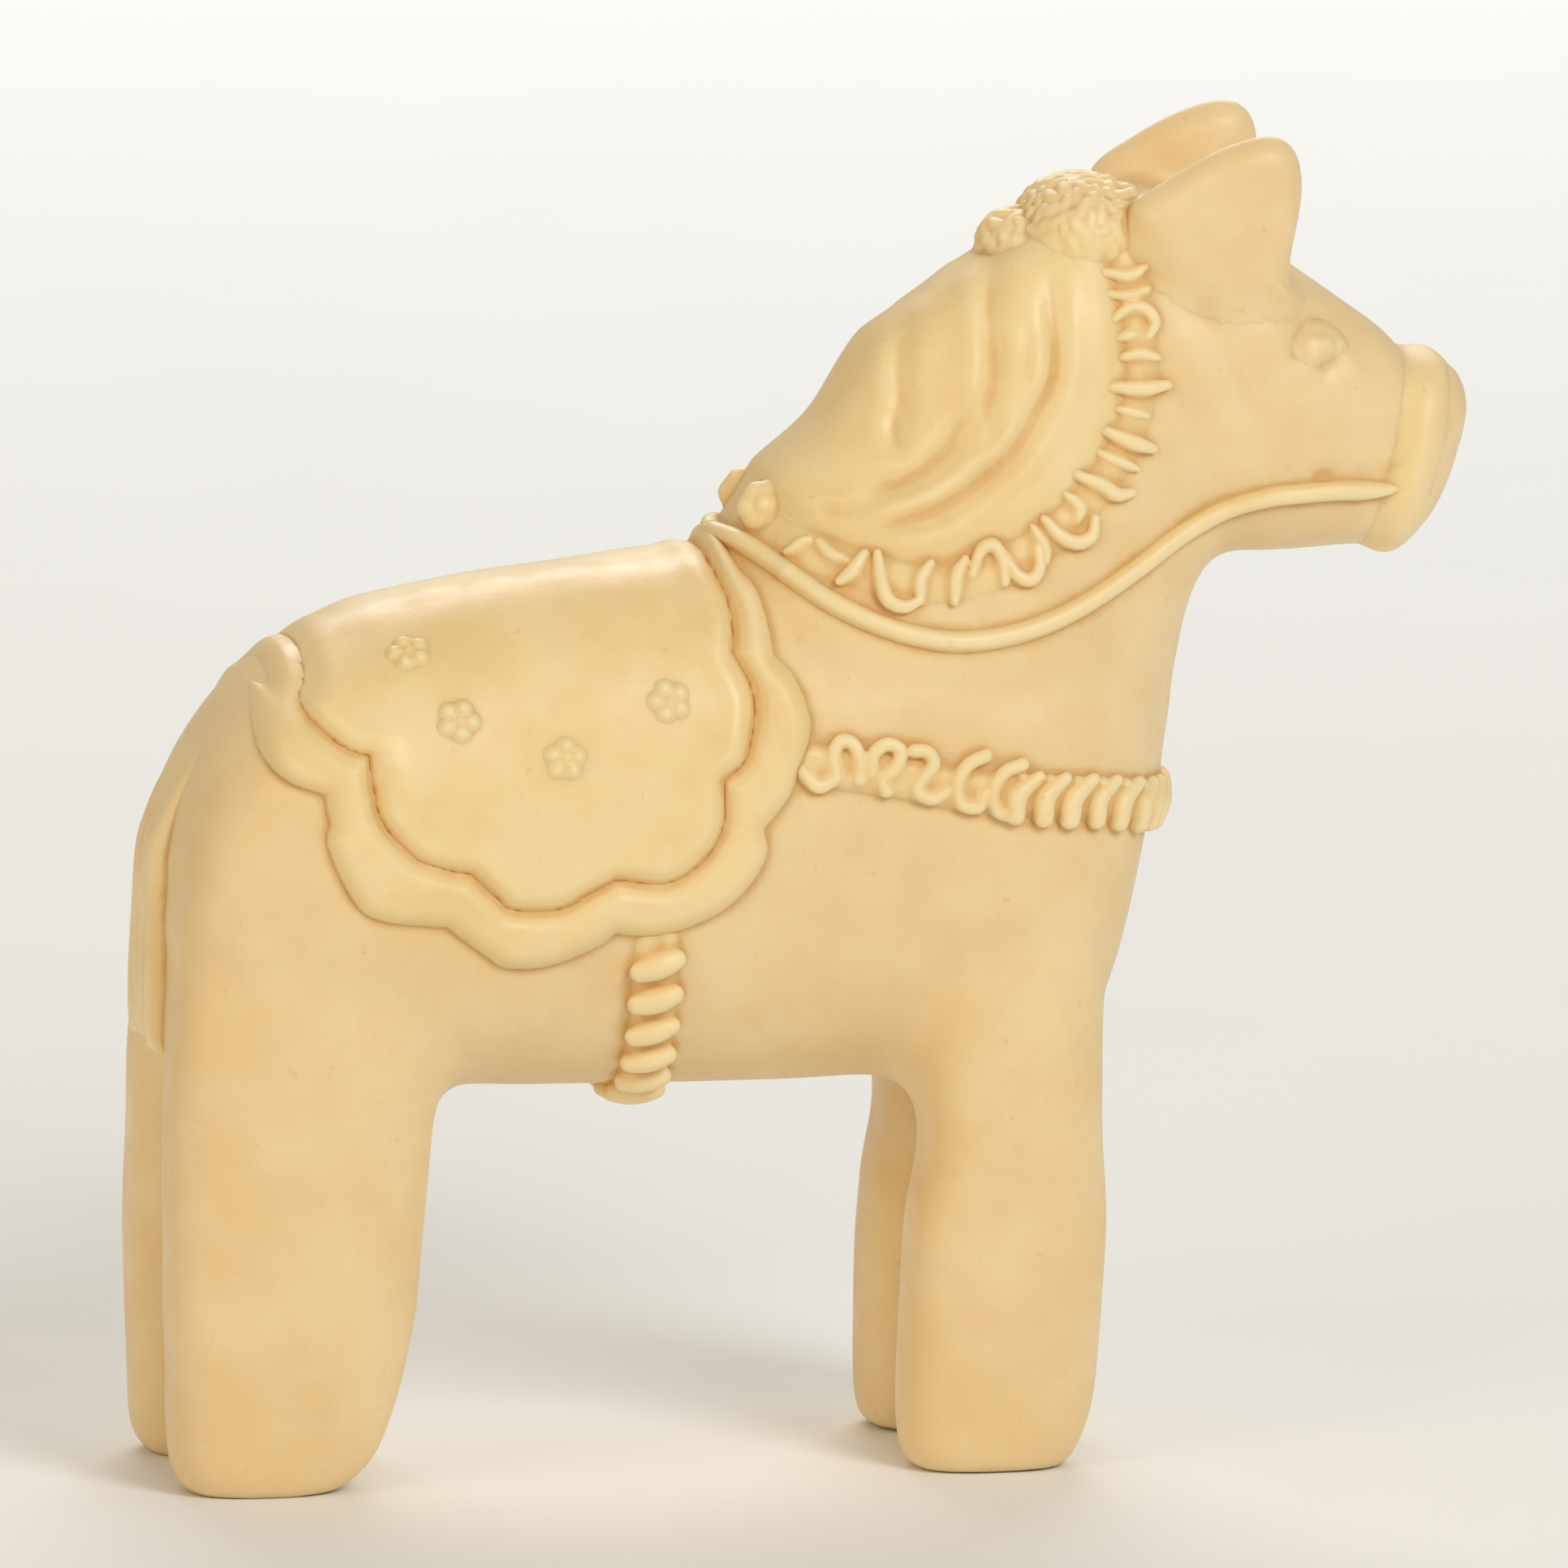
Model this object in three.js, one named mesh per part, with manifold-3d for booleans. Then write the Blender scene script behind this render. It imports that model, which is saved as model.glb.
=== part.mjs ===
// A dala horse ornament: a small cast horse with a draped saddle blanket, a rope breast strap
// and girth, reins, a combed mane with a curled fringe, and a docked tail.
// Millimetres, +Z up, nose towards +X. The soles stand on z = 0, and the origin is under the
// middle of the length. The horse's right side is -Y. Everything is glued on, so nothing moves.

import * as THREE from "three";
import { mergeVertices } from "three/addons/utils/BufferGeometryUtils.js";
import Module from "manifold-3d";

const wasm = await Module();
wasm.setup();

// ---- Driving dimensions ----

const GLUE_GAP = 0.12; // between the body and whatever lies on it
const PANEL_THICKNESS = 0.3; // saddle blanket
const RIM_THICKNESS = 0.7; // the blanket's raised border
const MANE_THICKNESS = 0.3;
const FRINGE_THICKNESS = 0.2; // the strip under the curls
const CURL_RADIUS = 0.38;
const STRAP_THICKNESS = 0.25;
const STRAP_WIDTH = 1.5;
const TWIST_RADIUS = 0.45; // one strand of the breast strap
const GIRTH_THICKNESS = 0.75;
const NOSEBAND_THICKNESS = 0.42;
const TAIL_THICKNESS = 0.6;
const TAIL_WIDTH = 3.4;
const REIN_RADIUS = 0.3;
const KNOB_RADIUS = 0.82;
const EYE_RADIUS = 0.55;
const EAR_THICKNESS = 1.5;
const EAR_OFFSET = 2.55; // from the middle plane to the middle of an ear
const FLOWER_RADIUS = 0.75;
const FLOWER_HEIGHT = 0.3;
const HALF_SPAN = 12; // a cutter this far to each side clears the whole body
const ABOVE_BACK = 34; // a cutter up to this height clears the back
const MIDDLE_X = 0.14; // where the middle of the whole length lies in the drawings below

// Each row of TRUNK and HEAD is one slanted section: top x, top z, bottom x, bottom z and
// half width. Each row of NECK is a level one: z, back x, front x and half width.
const TRUNK = [
  [-21.6, 21.6, -21.85, 16.2, 2.6],
  [-21.1, 23.3, -21.75, 15.0, 4.4],
  [-20.0, 25.3, -20.8, 13.9, 5.6],
  [-18.3, 27.2, -18.7, 13.3, 6.2],
  [-16.0, 28.4, -16.0, 13.0, 6.5],
  [-11.0, 29.5, -11.0, 12.9, 6.45],
  [-5.5, 30.1, -5.5, 12.8, 6.35],
  [-1.0, 30.5, -1.0, 12.8, 6.35],
  [4.0, 30.5, 4.0, 12.9, 6.35],
  [8.5, 29.5, 7.5, 13.2, 6.0],
  [11.2, 28.5, 9.2, 13.8, 5.0],
  [12.2, 27.0, 10.0, 15.0, 3.6],
  [12.6, 25.5, 10.6, 16.8, 2.0],
];
const NECK = [
  [23.0, -5.0, 12.2, 5.6],
  [27.0, -5.4, 12.9, 5.7],
  [29.2, -5.0, 13.6, 5.4],
  [31.0, -2.9, 14.8, 4.9],
  [33.0, -1.5, 15.3, 4.4],
  [35.0, 0.6, 15.4, 4.0],
  [37.5, 2.2, 15.4, 3.5],
  [39.5, 4.9, 15.4, 3.0],
  [41.2, 7.4, 14.6, 2.5],
  [42.3, 9.2, 12.8, 1.6],
];
const HEAD = [
  [9.0, 41.6, 9.5, 31.5, 2.8],
  [12.5, 41.6, 12.5, 30.4, 3.4],
  [15.2, 40.8, 15.0, 30.1, 3.6],
  [17.6, 39.2, 17.0, 30.1, 3.3],
  [19.7, 37.6, 18.6, 30.2, 2.9],
  [20.8, 36.5, 19.3, 30.2, 2.7],
  [21.9, 36.3, 20.4, 30.3, 2.6],
  [22.5, 35.9, 21.3, 30.8, 2.2],
  [22.88, 35.0, 22.0, 31.8, 1.4],
];
// Each row of a leg is a level section: z, back x, front x, inner y and outer y.
const FORELEG = [
  [0.0, 3.3, 8.2, 1.9, 5.9],
  [0.5, 2.9, 8.65, 1.6, 6.2],
  [2.5, 2.75, 9.3, 1.5, 6.35],
  [8.0, 3.0, 9.68, 1.4, 6.5],
  [11.0, 3.5, 9.6, 1.2, 6.5],
  [14.5, 3.3, 9.6, 0.9, 6.35],
  [18.5, 2.8, 9.8, 0.6, 5.9],
];
const HINDLEG = [
  [0.0, -21.3, -16.4, 1.9, 5.9],
  [0.5, -21.75, -15.7, 1.6, 6.2],
  [1.6, -22.0, -14.9, 1.5, 6.35],
  [5.0, -22.1, -13.9, 1.4, 6.5],
  [9.0, -22.1, -13.4, 1.2, 6.5],
  [14.0, -22.05, -13.0, 0.9, 6.35],
  [18.5, -21.6, -13.6, 0.6, 5.9],
];
const TRUNK_POWER = 2.5; // of the superellipse sections: 2 is an ellipse, more is squarer
const NECK_POWER = 2.3;
const HEAD_POWER = 2.6;
const LEG_POWER = 2.8;

// ---- Solids from three.js geometry ----

// A closed three.js geometry as a manifold-3d solid.
function solidOf(geometry) {
  const bare = geometry.index ? geometry.toNonIndexed() : geometry.clone();
  bare.deleteAttribute("normal");
  bare.deleteAttribute("uv");
  const merged = mergeVertices(bare, 1e-4);
  return new wasm.Manifold(
    new wasm.Mesh({
      numProp: 3,
      vertProperties: new Float32Array(merged.attributes.position.array),
      triVerts: new Uint32Array(merged.index.array),
    }),
  );
}

// A manifold-3d solid as a three.js geometry.
function geometryOf(solid) {
  const mesh = solid.getMesh();
  const geometry = new THREE.BufferGeometry();
  geometry.setAttribute("position", new THREE.BufferAttribute(mesh.vertProperties, 3));
  geometry.setIndex(new THREE.BufferAttribute(mesh.triVerts, 1));
  geometry.computeVertexNormals();
  return geometry;
}

// The largest body of a solid, without the slivers that a cut leaves.
function mainBody(solid) {
  const bodies = solid.decompose();
  return bodies.reduce((a, b) => (b.volume() > a.volume() ? b : a));
}

// A closed loft: a cylinder whose rings are moved to the sections. A section has a centre and
// two half axes, and `power` is the superellipse's. The first section is the lowest ring, and
// v, the way to the last section and u make a right-handed frame.
function loft(sections, power, sides) {
  const steps = sections.length - 1;
  const geometry = new THREE.CylinderGeometry(1, 1, steps, sides, steps);
  const position = geometry.attributes.position;
  const point = new THREE.Vector3();
  for (let i = 0; i < position.count; i++) {
    point.fromBufferAttribute(position, i);
    const section = sections[Math.round(point.y + steps / 2)];
    const radius = Math.hypot(point.x, point.z);
    const across = bulge(point.x, radius, power);
    const along = bulge(point.z, radius, power);
    point.copy(section.centre);
    point.addScaledVector(section.u, along);
    point.addScaledVector(section.v, across);
    position.setXYZ(i, point.x, point.y, point.z);
  }
  return solidOf(geometry);
}

// One coordinate of a superellipse, from the same coordinate of the unit circle.
function bulge(value, radius, power) {
  if (radius < 0.5) return 0;
  return Math.sign(value) * Math.pow(Math.abs(value), 2 / power);
}

// Sections moved apart at the two ends and widened, all by `grow`.
function grown(sections, grow) {
  const last = sections.length - 1;
  const axis = sections[last].centre.clone().sub(sections[0].centre).normalize();
  return sections.map((section, i) => {
    const shift = (i === last) - (i === 0);
    return {
      centre: section.centre.clone().addScaledVector(axis, shift * grow),
      u: section.u.clone().setLength(section.u.length() + grow),
      v: section.v.clone().setLength(section.v.length() + grow),
    };
  });
}

function slantedSections(rows) {
  return rows.map(([topX, topZ, bottomX, bottomZ, halfWidth]) => ({
    centre: new THREE.Vector3((topX + bottomX) / 2, 0, (topZ + bottomZ) / 2),
    u: new THREE.Vector3((topX - bottomX) / 2, 0, (topZ - bottomZ) / 2),
    v: new THREE.Vector3(0, -halfWidth, 0),
  }));
}

function levelSections(rows) {
  return rows.map(([z, back, front, inner, outer]) => ({
    centre: new THREE.Vector3((back + front) / 2, (inner + outer) / 2, z),
    u: new THREE.Vector3((front - back) / 2, 0, 0),
    v: new THREE.Vector3(0, (outer - inner) / 2, 0),
  }));
}

function neckSections() {
  return levelSections(NECK.map(([z, back, front, half]) => [z, back, front, -half, half]));
}

// A leg's rows on the given side: 1 is the horse's left, -1 its right.
function legRows(rows, side) {
  return rows.map(([z, back, front, inner, outer]) =>
    side > 0 ? [z, back, front, inner, outer] : [z, back, front, -outer, -inner],
  );
}

function turnedOut(solid) {
  if (solid.volume() < 0) throw new Error("a loft is inside out");
  return solid;
}

function trunkForm(grow) {
  return turnedOut(loft(grown(slantedSections(TRUNK), grow), TRUNK_POWER, 28));
}

function neckForm(grow) {
  return turnedOut(loft(grown(neckSections(), grow), NECK_POWER, 28));
}

function headForm(grow) {
  return turnedOut(loft(grown(slantedSections(HEAD), grow), HEAD_POWER, 20));
}

function legForm(rows, side, grow) {
  return turnedOut(loft(grown(levelSections(legRows(rows, side)), grow), LEG_POWER, 16));
}

// The whole horse without its trim, offset outwards by `grow`.
function horseForm(grow) {
  let form = trunkForm(grow).add(neckForm(grow)).add(headForm(grow));
  for (const rows of [FORELEG, HINDLEG]) {
    for (const side of [-1, 1]) {
      form = form.add(legForm(rows, side, grow));
    }
  }
  return form;
}

// A side view's closed outline as a shape: straight where `curved` is false.
function outline(points, curved = true) {
  const corners = points.map(([x, z]) => new THREE.Vector2(x, z));
  const shape = new THREE.Shape();
  shape.moveTo(corners[0].x, corners[0].y);
  if (curved) {
    const curve = new THREE.SplineCurve([...corners, corners[0]]);
    for (const p of curve.getSpacedPoints(4 * points.length)) shape.lineTo(p.x, p.y);
  } else {
    for (const p of corners.slice(1)) shape.lineTo(p.x, p.y);
  }
  return shape;
}

// A side view's shape as a slab that runs along Y from y0 to y1.
function slab(shape, y0 = -HALF_SPAN, y1 = HALF_SPAN) {
  const geometry = new THREE.ExtrudeGeometry(shape, { depth: y1 - y0, bevelEnabled: false });
  geometry.rotateX(Math.PI / 2);
  geometry.translate(0, y1, 0);
  return solidOf(geometry);
}

// The half space on one side of the middle plane, short of it by half a glue gap.
function sideHalf(side) {
  const box = new THREE.BoxGeometry(80, HALF_SPAN, 80);
  box.translate(0, (side * (HALF_SPAN + GLUE_GAP)) / 2, 25);
  return solidOf(box);
}

const horse = horseForm(0);
const clearance = horseForm(GLUE_GAP);

// A skin that lies on the horse: the part of a form inside `cutter`, cut clear of the body.
function skin(form, cutter) {
  return mainBody(form.intersect(cutter).subtract(clearance));
}

// ---- Points on the horse's surface ----

const target = new THREE.Mesh(geometryOf(horse), new THREE.MeshBasicMaterial());
const ray = new THREE.Raycaster();

// The point on the horse's flank at x and z, on the given side, and lifted by `lift`.
function flank(x, z, side, lift = 0) {
  ray.set(new THREE.Vector3(x, side * HALF_SPAN, z), new THREE.Vector3(0, -side, 0));
  const hit = ray.intersectObject(target)[0];
  return hit.point.clone().addScaledVector(hit.face.normal, lift);
}

// A round bar between two points.
function bar(from, to, radius, sides = 6) {
  const length = from.distanceTo(to);
  const geometry = new THREE.CylinderGeometry(radius, radius, length, sides);
  const up = new THREE.Vector3(0, 1, 0);
  const along = to.clone().sub(from).normalize();
  geometry.applyQuaternion(new THREE.Quaternion().setFromUnitVectors(up, along));
  const middle = from.clone().add(to).multiplyScalar(0.5);
  geometry.translate(middle.x, middle.y, middle.z);
  return solidOf(geometry);
}

// A ball, squashed to the given half axes.
function ball(centre, halfAxes, segments = 12) {
  const geometry = new THREE.SphereGeometry(1, segments, segments / 2);
  geometry.scale(...halfAxes);
  geometry.translate(centre.x, centre.y, centre.z);
  return solidOf(geometry);
}

// A band of constant width that follows a side view's centre line.
function bandOutline(points, width, steps) {
  const curve = new THREE.SplineCurve(points.map(([x, z]) => new THREE.Vector2(x, z)));
  const near = [];
  const far = [];
  for (let i = 0; i <= steps; i++) {
    const p = curve.getPointAt(i / steps);
    const t = curve.getTangentAt(i / steps);
    near.push([p.x - (t.y * width) / 2, p.y + (t.x * width) / 2]);
    far.push([p.x + (t.y * width) / 2, p.y - (t.x * width) / 2]);
  }
  return outline([...near, ...far.reverse()], false);
}

// Bars laid across a centre line on one flank, `slant` radians off square.
function crossBars(points, count, halfLength, radius, slant, side) {
  const curve = new THREE.SplineCurve(points.map(([x, z]) => new THREE.Vector2(x, z)));
  const bars = [];
  for (let i = 0; i < count; i++) {
    const p = curve.getPointAt((i + 0.5) / count);
    const across = curve.getTangentAt((i + 0.5) / count);
    across.rotateAround(new THREE.Vector2(), Math.PI / 2 - slant).multiplyScalar(halfLength);
    const from = flank(p.x - across.x, p.y - across.y, side, GLUE_GAP);
    const to = flank(p.x + across.x, p.y + across.y, side, GLUE_GAP);
    bars.push(bar(from, to, radius));
  }
  return bars;
}

// ---- Blanket ----

// The scalloped edge of the border, and the border's inner line, from the withers down and back
// to the rump: each scallop's cusps and one or two points on its curve.
const BLANKET_EDGE = [
  [-2.9, 31.5],
  [-1.9, 29.2],
  [-1.4, 27.5],
  [-0.7, 25.4],
  [-1.3, 23.4],
  [-2.2, 21.7],
  [-2.9, 20.1],
  [-4.4, 19.0],
  [-6.9, 18.7],
  [-8.3, 18.0],
  [-10.3, 17.55],
  [-12.0, 18.3],
  [-13.4, 19.2],
  [-15.6, 19.6],
  [-16.9, 21.2],
  [-17.1, 23.3],
  [-18.6, 24.4],
  [-19.1, 25.8],
  [-18.8, 27.0],
  [-18.9, 29.0],
];
const PANEL_EDGE = [
  [-4.0, 31.5],
  [-3.1, 29.2],
  [-3.0, 27.7],
  [-2.55, 25.6],
  [-3.0, 24.3],
  [-3.65, 22.8],
  [-4.1, 21.3],
  [-5.4, 20.5],
  [-7.3, 20.5],
  [-8.4, 19.9],
  [-10.2, 19.5],
  [-11.6, 20.2],
  [-12.7, 21.0],
  [-14.3, 21.7],
  [-15.3, 23.0],
  [-15.6, 24.7],
  [-17.0, 25.6],
  [-17.6, 26.8],
  [-17.7, 29.0],
];
const PANEL_CLEARANCE = 0.12; // between the panel and the border round it

function blanketOutline(edge, shrink) {
  const first = edge[0];
  const last = edge[edge.length - 1];
  const middle = new THREE.Vector2(-10, 25);
  const curve = new THREE.SplineCurve(edge.map(([x, z]) => new THREE.Vector2(x, z)));
  const points = curve.getSpacedPoints(3 * edge.length).map((p) => {
    const inwards = middle.clone().sub(p).setLength(shrink);
    return [p.x + inwards.x, p.y + inwards.y];
  });
  const top = [
    [first[0] - shrink, ABOVE_BACK],
    [last[0] + shrink, ABOVE_BACK],
  ];
  return outline([top[0], ...points, top[1]], false);
}

const panel = skin(
  trunkForm(GLUE_GAP + PANEL_THICKNESS),
  slab(blanketOutline(PANEL_EDGE, PANEL_CLEARANCE)),
);
const border = skin(
  trunkForm(GLUE_GAP + RIM_THICKNESS),
  slab(blanketOutline(BLANKET_EDGE, 0)).subtract(slab(blanketOutline(PANEL_EDGE, 0))),
);

// ---- Flowers on the blanket ----

const FLOWER_PLACES = [
  [-5.5, 26.4],
  [-8.9, 24.4],
  [-12.7, 25.9],
  [-14.0, 27.6],
];

// A low dome that stands on the blanket at x and z.
function flower(x, z, side) {
  const base = flank(x, z, side);
  const normal = flank(x, z, side, 1).sub(base);
  const rise = GLUE_GAP + PANEL_THICKNESS + 0.14;
  const profile = [
    [0, 0],
    [FLOWER_RADIUS, 0],
    [FLOWER_RADIUS * 0.8, FLOWER_HEIGHT * 0.7],
    [0, FLOWER_HEIGHT],
  ].map(([r, h]) => new THREE.Vector2(r, h));
  const geometry = new THREE.LatheGeometry(profile, 12);
  const turn = new THREE.Quaternion().setFromUnitVectors(new THREE.Vector3(0, 1, 0), normal);
  geometry.applyQuaternion(turn);
  base.addScaledVector(normal, rise);
  geometry.translate(base.x, base.y, base.z);
  return mainBody(solidOf(geometry).subtract(panel));
}

// ---- Harness ----

const STRAP_LINE = [
  [-0.35, 24.15],
  [2.3, 23.7],
  [4.3, 23.25],
  [7.4, 22.85],
  [9.6, 22.6],
  [11.6, 22.2],
  [14.5, 21.7],
];
const STRAP_FLANK = STRAP_LINE.slice(0, 6); // the stretch with strands that a side view shows
const GIRTH_X = -6.1;
const GIRTH_TOP = 18.1;
const GIRTH_WIDTH = 1.9;
const UNDER_BELLY = 8; // a cutter down to this height clears the belly

const strapBand = horseForm(GLUE_GAP + STRAP_THICKNESS).intersect(
  slab(bandOutline(STRAP_LINE, STRAP_WIDTH, 12)),
);
const strapTwists = [-1, 1].flatMap((side) =>
  crossBars(STRAP_FLANK, 13, STRAP_WIDTH * 0.42, TWIST_RADIUS, 0.35, side),
);
const strap = mainBody(
  strapTwists.reduce((a, b) => a.add(b), strapBand).subtract(clearance),
);

const girth = skin(
  trunkForm(GLUE_GAP + GIRTH_THICKNESS),
  slab(outline([
    [GIRTH_X - GIRTH_WIDTH / 2, UNDER_BELLY],
    [GIRTH_X + GIRTH_WIDTH / 2, UNDER_BELLY],
    [GIRTH_X + GIRTH_WIDTH / 2, GIRTH_TOP],
    [GIRTH_X - GIRTH_WIDTH / 2, GIRTH_TOP],
  ], false)),
);

const noseband = skin(
  headForm(GLUE_GAP + NOSEBAND_THICKNESS),
  slab(outline([
    [19.05, 28.5],
    [20.1, 28.5],
    [22.15, 38.0],
    [21.1, 38.0],
  ], false)),
);

const REIN_LINE = [
  [19.6, 32.3],
  [18.1, 32.45],
  [16.6, 32.4],
  [15.0, 32.2],
  [12.95, 31.5],
  [10.8, 30.2],
  [8.6, 29.0],
  [6.5, 28.3],
  [4.4, 28.1],
  [2.4, 28.5],
  [0.5, 29.3],
  [-1.0, 30.3],
];
// The last points of a rein, where it passes behind the crest: x, distance from the middle, z.
const REIN_END = [
  [-2.25, 2.2, 31.15],
  [-2.95, 0.9, 31.45],
  [-3.15, 0.0, 31.5],
];
const REIN_LIFT = 0.2; // the cord's axis above the body, so it stands more than half proud

function rein(side) {
  const path = REIN_LINE.map(([x, z]) => flank(x, z, side, REIN_LIFT));
  path.push(...REIN_END.map(([x, y, z]) => new THREE.Vector3(x, side * y, z)));
  const circle = new THREE.Shape();
  circle.absarc(0, 0, REIN_RADIUS, 0, 2 * Math.PI, false);
  const geometry = new THREE.ExtrudeGeometry(circle, {
    extrudePath: new THREE.CatmullRomCurve3(path),
    steps: 40,
    curveSegments: 8,
    bevelEnabled: false,
  });
  return mainBody(solidOf(geometry).subtract(clearance).intersect(sideHalf(side)));
}

// ---- Mane ----

const FRINGE_LINE = [
  [10.6, 40.4],
  [11.15, 38.6],
  [11.2, 36.8],
  [10.8, 34.8],
  [9.5, 33.0],
  [7.6, 31.3],
  [5.5, 30.2],
  [3.5, 29.9],
  [1.5, 30.2],
  [-0.1, 30.85],
];
const FRINGE_WIDTH = 1.25;
const MANE_OUTLINE = [
  [7.9, 44.0],
  [8.6, 41.2],
  [9.8, 39.0],
  [10.25, 36.8],
  [9.9, 35.2],
  [8.8, 33.6],
  [7.1, 32.1],
  [5.2, 31.15],
  [3.5, 30.85],
  [1.9, 31.1],
  [0.2, 31.8],
  [-0.7, 32.6],
  [-1.4, 34.6],
  [1.0, 40.0],
];

const mane = skin(horseForm(GLUE_GAP + MANE_THICKNESS), slab(outline(MANE_OUTLINE, false)));

function fringe(side) {
  const strip = horseForm(GLUE_GAP + FRINGE_THICKNESS)
    .intersect(slab(bandOutline(FRINGE_LINE, FRINGE_WIDTH, 14)))
    .intersect(sideHalf(side));
  const curls = crossBars(FRINGE_LINE, 20, FRINGE_WIDTH * 0.42, CURL_RADIUS, 0.25, side);
  return mainBody(curls.reduce((a, b) => a.add(b), strip).subtract(clearance).subtract(mane));
}

// The curls on top of the neck: a tuft between the ears and one curl behind it.
function crestCurl(x, z, halfLength, halfWidth, halfHeight) {
  const curl = ball(new THREE.Vector3(x, 0, z), [halfLength, halfWidth, halfHeight], 16);
  return curl.subtract(horseForm(GLUE_GAP + MANE_THICKNESS + GLUE_GAP));
}

// ---- Head ----

const EAR_OUTLINE = [
  [16.0, 39.6],
  [16.5, 41.3],
  [16.75, 43.0],
  [16.45, 44.3],
  [15.5, 44.8],
  [14.1, 44.3],
  [12.6, 43.4],
  [11.6, 42.3],
  [12.2, 41.0],
  [14.0, 39.6],
];
const EYE_PLACE = [17.25, 37.35];
const KNOB_PLACE = [-1.5, 1.5, 32.25];

function ear(side) {
  const middle = side * EAR_OFFSET;
  const blade = slab(outline(EAR_OUTLINE), middle - EAR_THICKNESS / 2, middle + EAR_THICKNESS / 2);
  return mainBody(blade.subtract(clearance));
}

function eye(side) {
  const centre = flank(EYE_PLACE[0], EYE_PLACE[1], side);
  const halves = [EYE_RADIUS, EYE_RADIUS, EYE_RADIUS];
  return mainBody(ball(centre, halves).subtract(clearance));
}

function knob(side) {
  const centre = new THREE.Vector3(KNOB_PLACE[0], side * KNOB_PLACE[1], KNOB_PLACE[2]);
  const halves = [KNOB_RADIUS, KNOB_RADIUS, KNOB_RADIUS];
  return mainBody(ball(centre, halves).subtract(clearance).intersect(sideHalf(side)));
}

// ---- Tail ----

const tail = skin(
  trunkForm(GLUE_GAP + TAIL_THICKNESS),
  slab(outline([
    [-26, 14.5],
    [-19.5, 14.5],
    [-19.5, 26.5],
    [-26, 30],
  ], false), -TAIL_WIDTH / 2, TAIL_WIDTH / 2),
);

// ---- Assembly ----

const resin = new THREE.MeshStandardMaterial({ color: 0xeed3a0, roughness: 0.48, metalness: 0 });
const trim = new THREE.MeshStandardMaterial({ color: 0xf0d9aa, roughness: 0.45, metalness: 0 });

const dalaHorse = new THREE.Group();
dalaHorse.position.x = -MIDDLE_X;

function place(name, solid, material = trim) {
  const mesh = new THREE.Mesh(geometryOf(solid), material);
  mesh.name = name;
  dalaHorse.add(mesh);
}

place("horse_body", horse, resin);
place("tail", tail);
place("mane", mane);
place("saddle_blanket", panel);
place("blanket_border", border);
place("breast_strap", strap);
place("girth", girth);
place("noseband", noseband);
place("forelock", mainBody(crestCurl(9.6, 42.0, 1.9, 1.9, 1.05).subtract(mane)));
place("crest_curl", mainBody(crestCurl(6.95, 41.05, 1.2, 1.3, 1.0).subtract(mane)));
for (const [label, side] of [["right", -1], ["left", 1]]) {
  place(`ear_${label}`, ear(side), resin);
  place(`eye_${label}`, eye(side), resin);
  place(`rein_${label}`, rein(side));
  place(`withers_knob_${label}`, knob(side));
  place(`mane_fringe_${label}`, fringe(side));
  FLOWER_PLACES.forEach(([x, z], i) => {
    place(`blanket_flower_${label}_${i + 1}`, flower(x, z, side));
  });
}

export default dalaHorse;
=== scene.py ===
"""The looks of a dala horse ornament: a small cast resin horse with a draped saddle blanket, a rope
breast strap and girth, reins, a combed mane with a curled fringe, and a docked tail.

Each piece is made as a field, which is the distance to its surface at the points of a grid, in
millimetres. The horse's body comes from lofts that melt into each other, and each trim is a raised
form on it that melts into it too, as relief does in a casting. The surface of a field is then
drawn as quads. The drawings below have the nose towards +X, the horse's right side towards -Y and
the soles on z = 0, and the piece's meshes are moved back by MIDDLE_X and turned into metres.
"""

import math

import bpy
import numpy as np
import openvdb
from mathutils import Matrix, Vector


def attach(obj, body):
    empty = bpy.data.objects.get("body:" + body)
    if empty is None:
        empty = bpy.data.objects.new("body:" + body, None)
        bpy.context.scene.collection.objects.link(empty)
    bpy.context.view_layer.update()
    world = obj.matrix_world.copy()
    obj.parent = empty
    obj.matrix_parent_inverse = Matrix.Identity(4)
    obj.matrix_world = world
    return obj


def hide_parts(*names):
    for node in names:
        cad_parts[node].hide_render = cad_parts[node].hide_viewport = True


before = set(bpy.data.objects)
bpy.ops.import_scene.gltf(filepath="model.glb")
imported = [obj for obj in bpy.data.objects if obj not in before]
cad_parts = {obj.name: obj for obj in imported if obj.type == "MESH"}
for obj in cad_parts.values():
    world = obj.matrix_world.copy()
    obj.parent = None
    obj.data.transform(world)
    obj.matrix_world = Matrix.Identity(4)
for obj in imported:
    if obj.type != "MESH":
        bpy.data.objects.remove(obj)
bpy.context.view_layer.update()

MM = 0.001
MIDDLE_X = 0.14  # where the middle of the whole length lies in the drawings
COARSER = 1.0
TINY = 1e-9  # stands in for a length of 0 where a sum divides by it
BEYOND = 99  # further than anything is

# ---- The horse's own shape: the CAD source's sections, with the nose a little blunter ----

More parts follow.
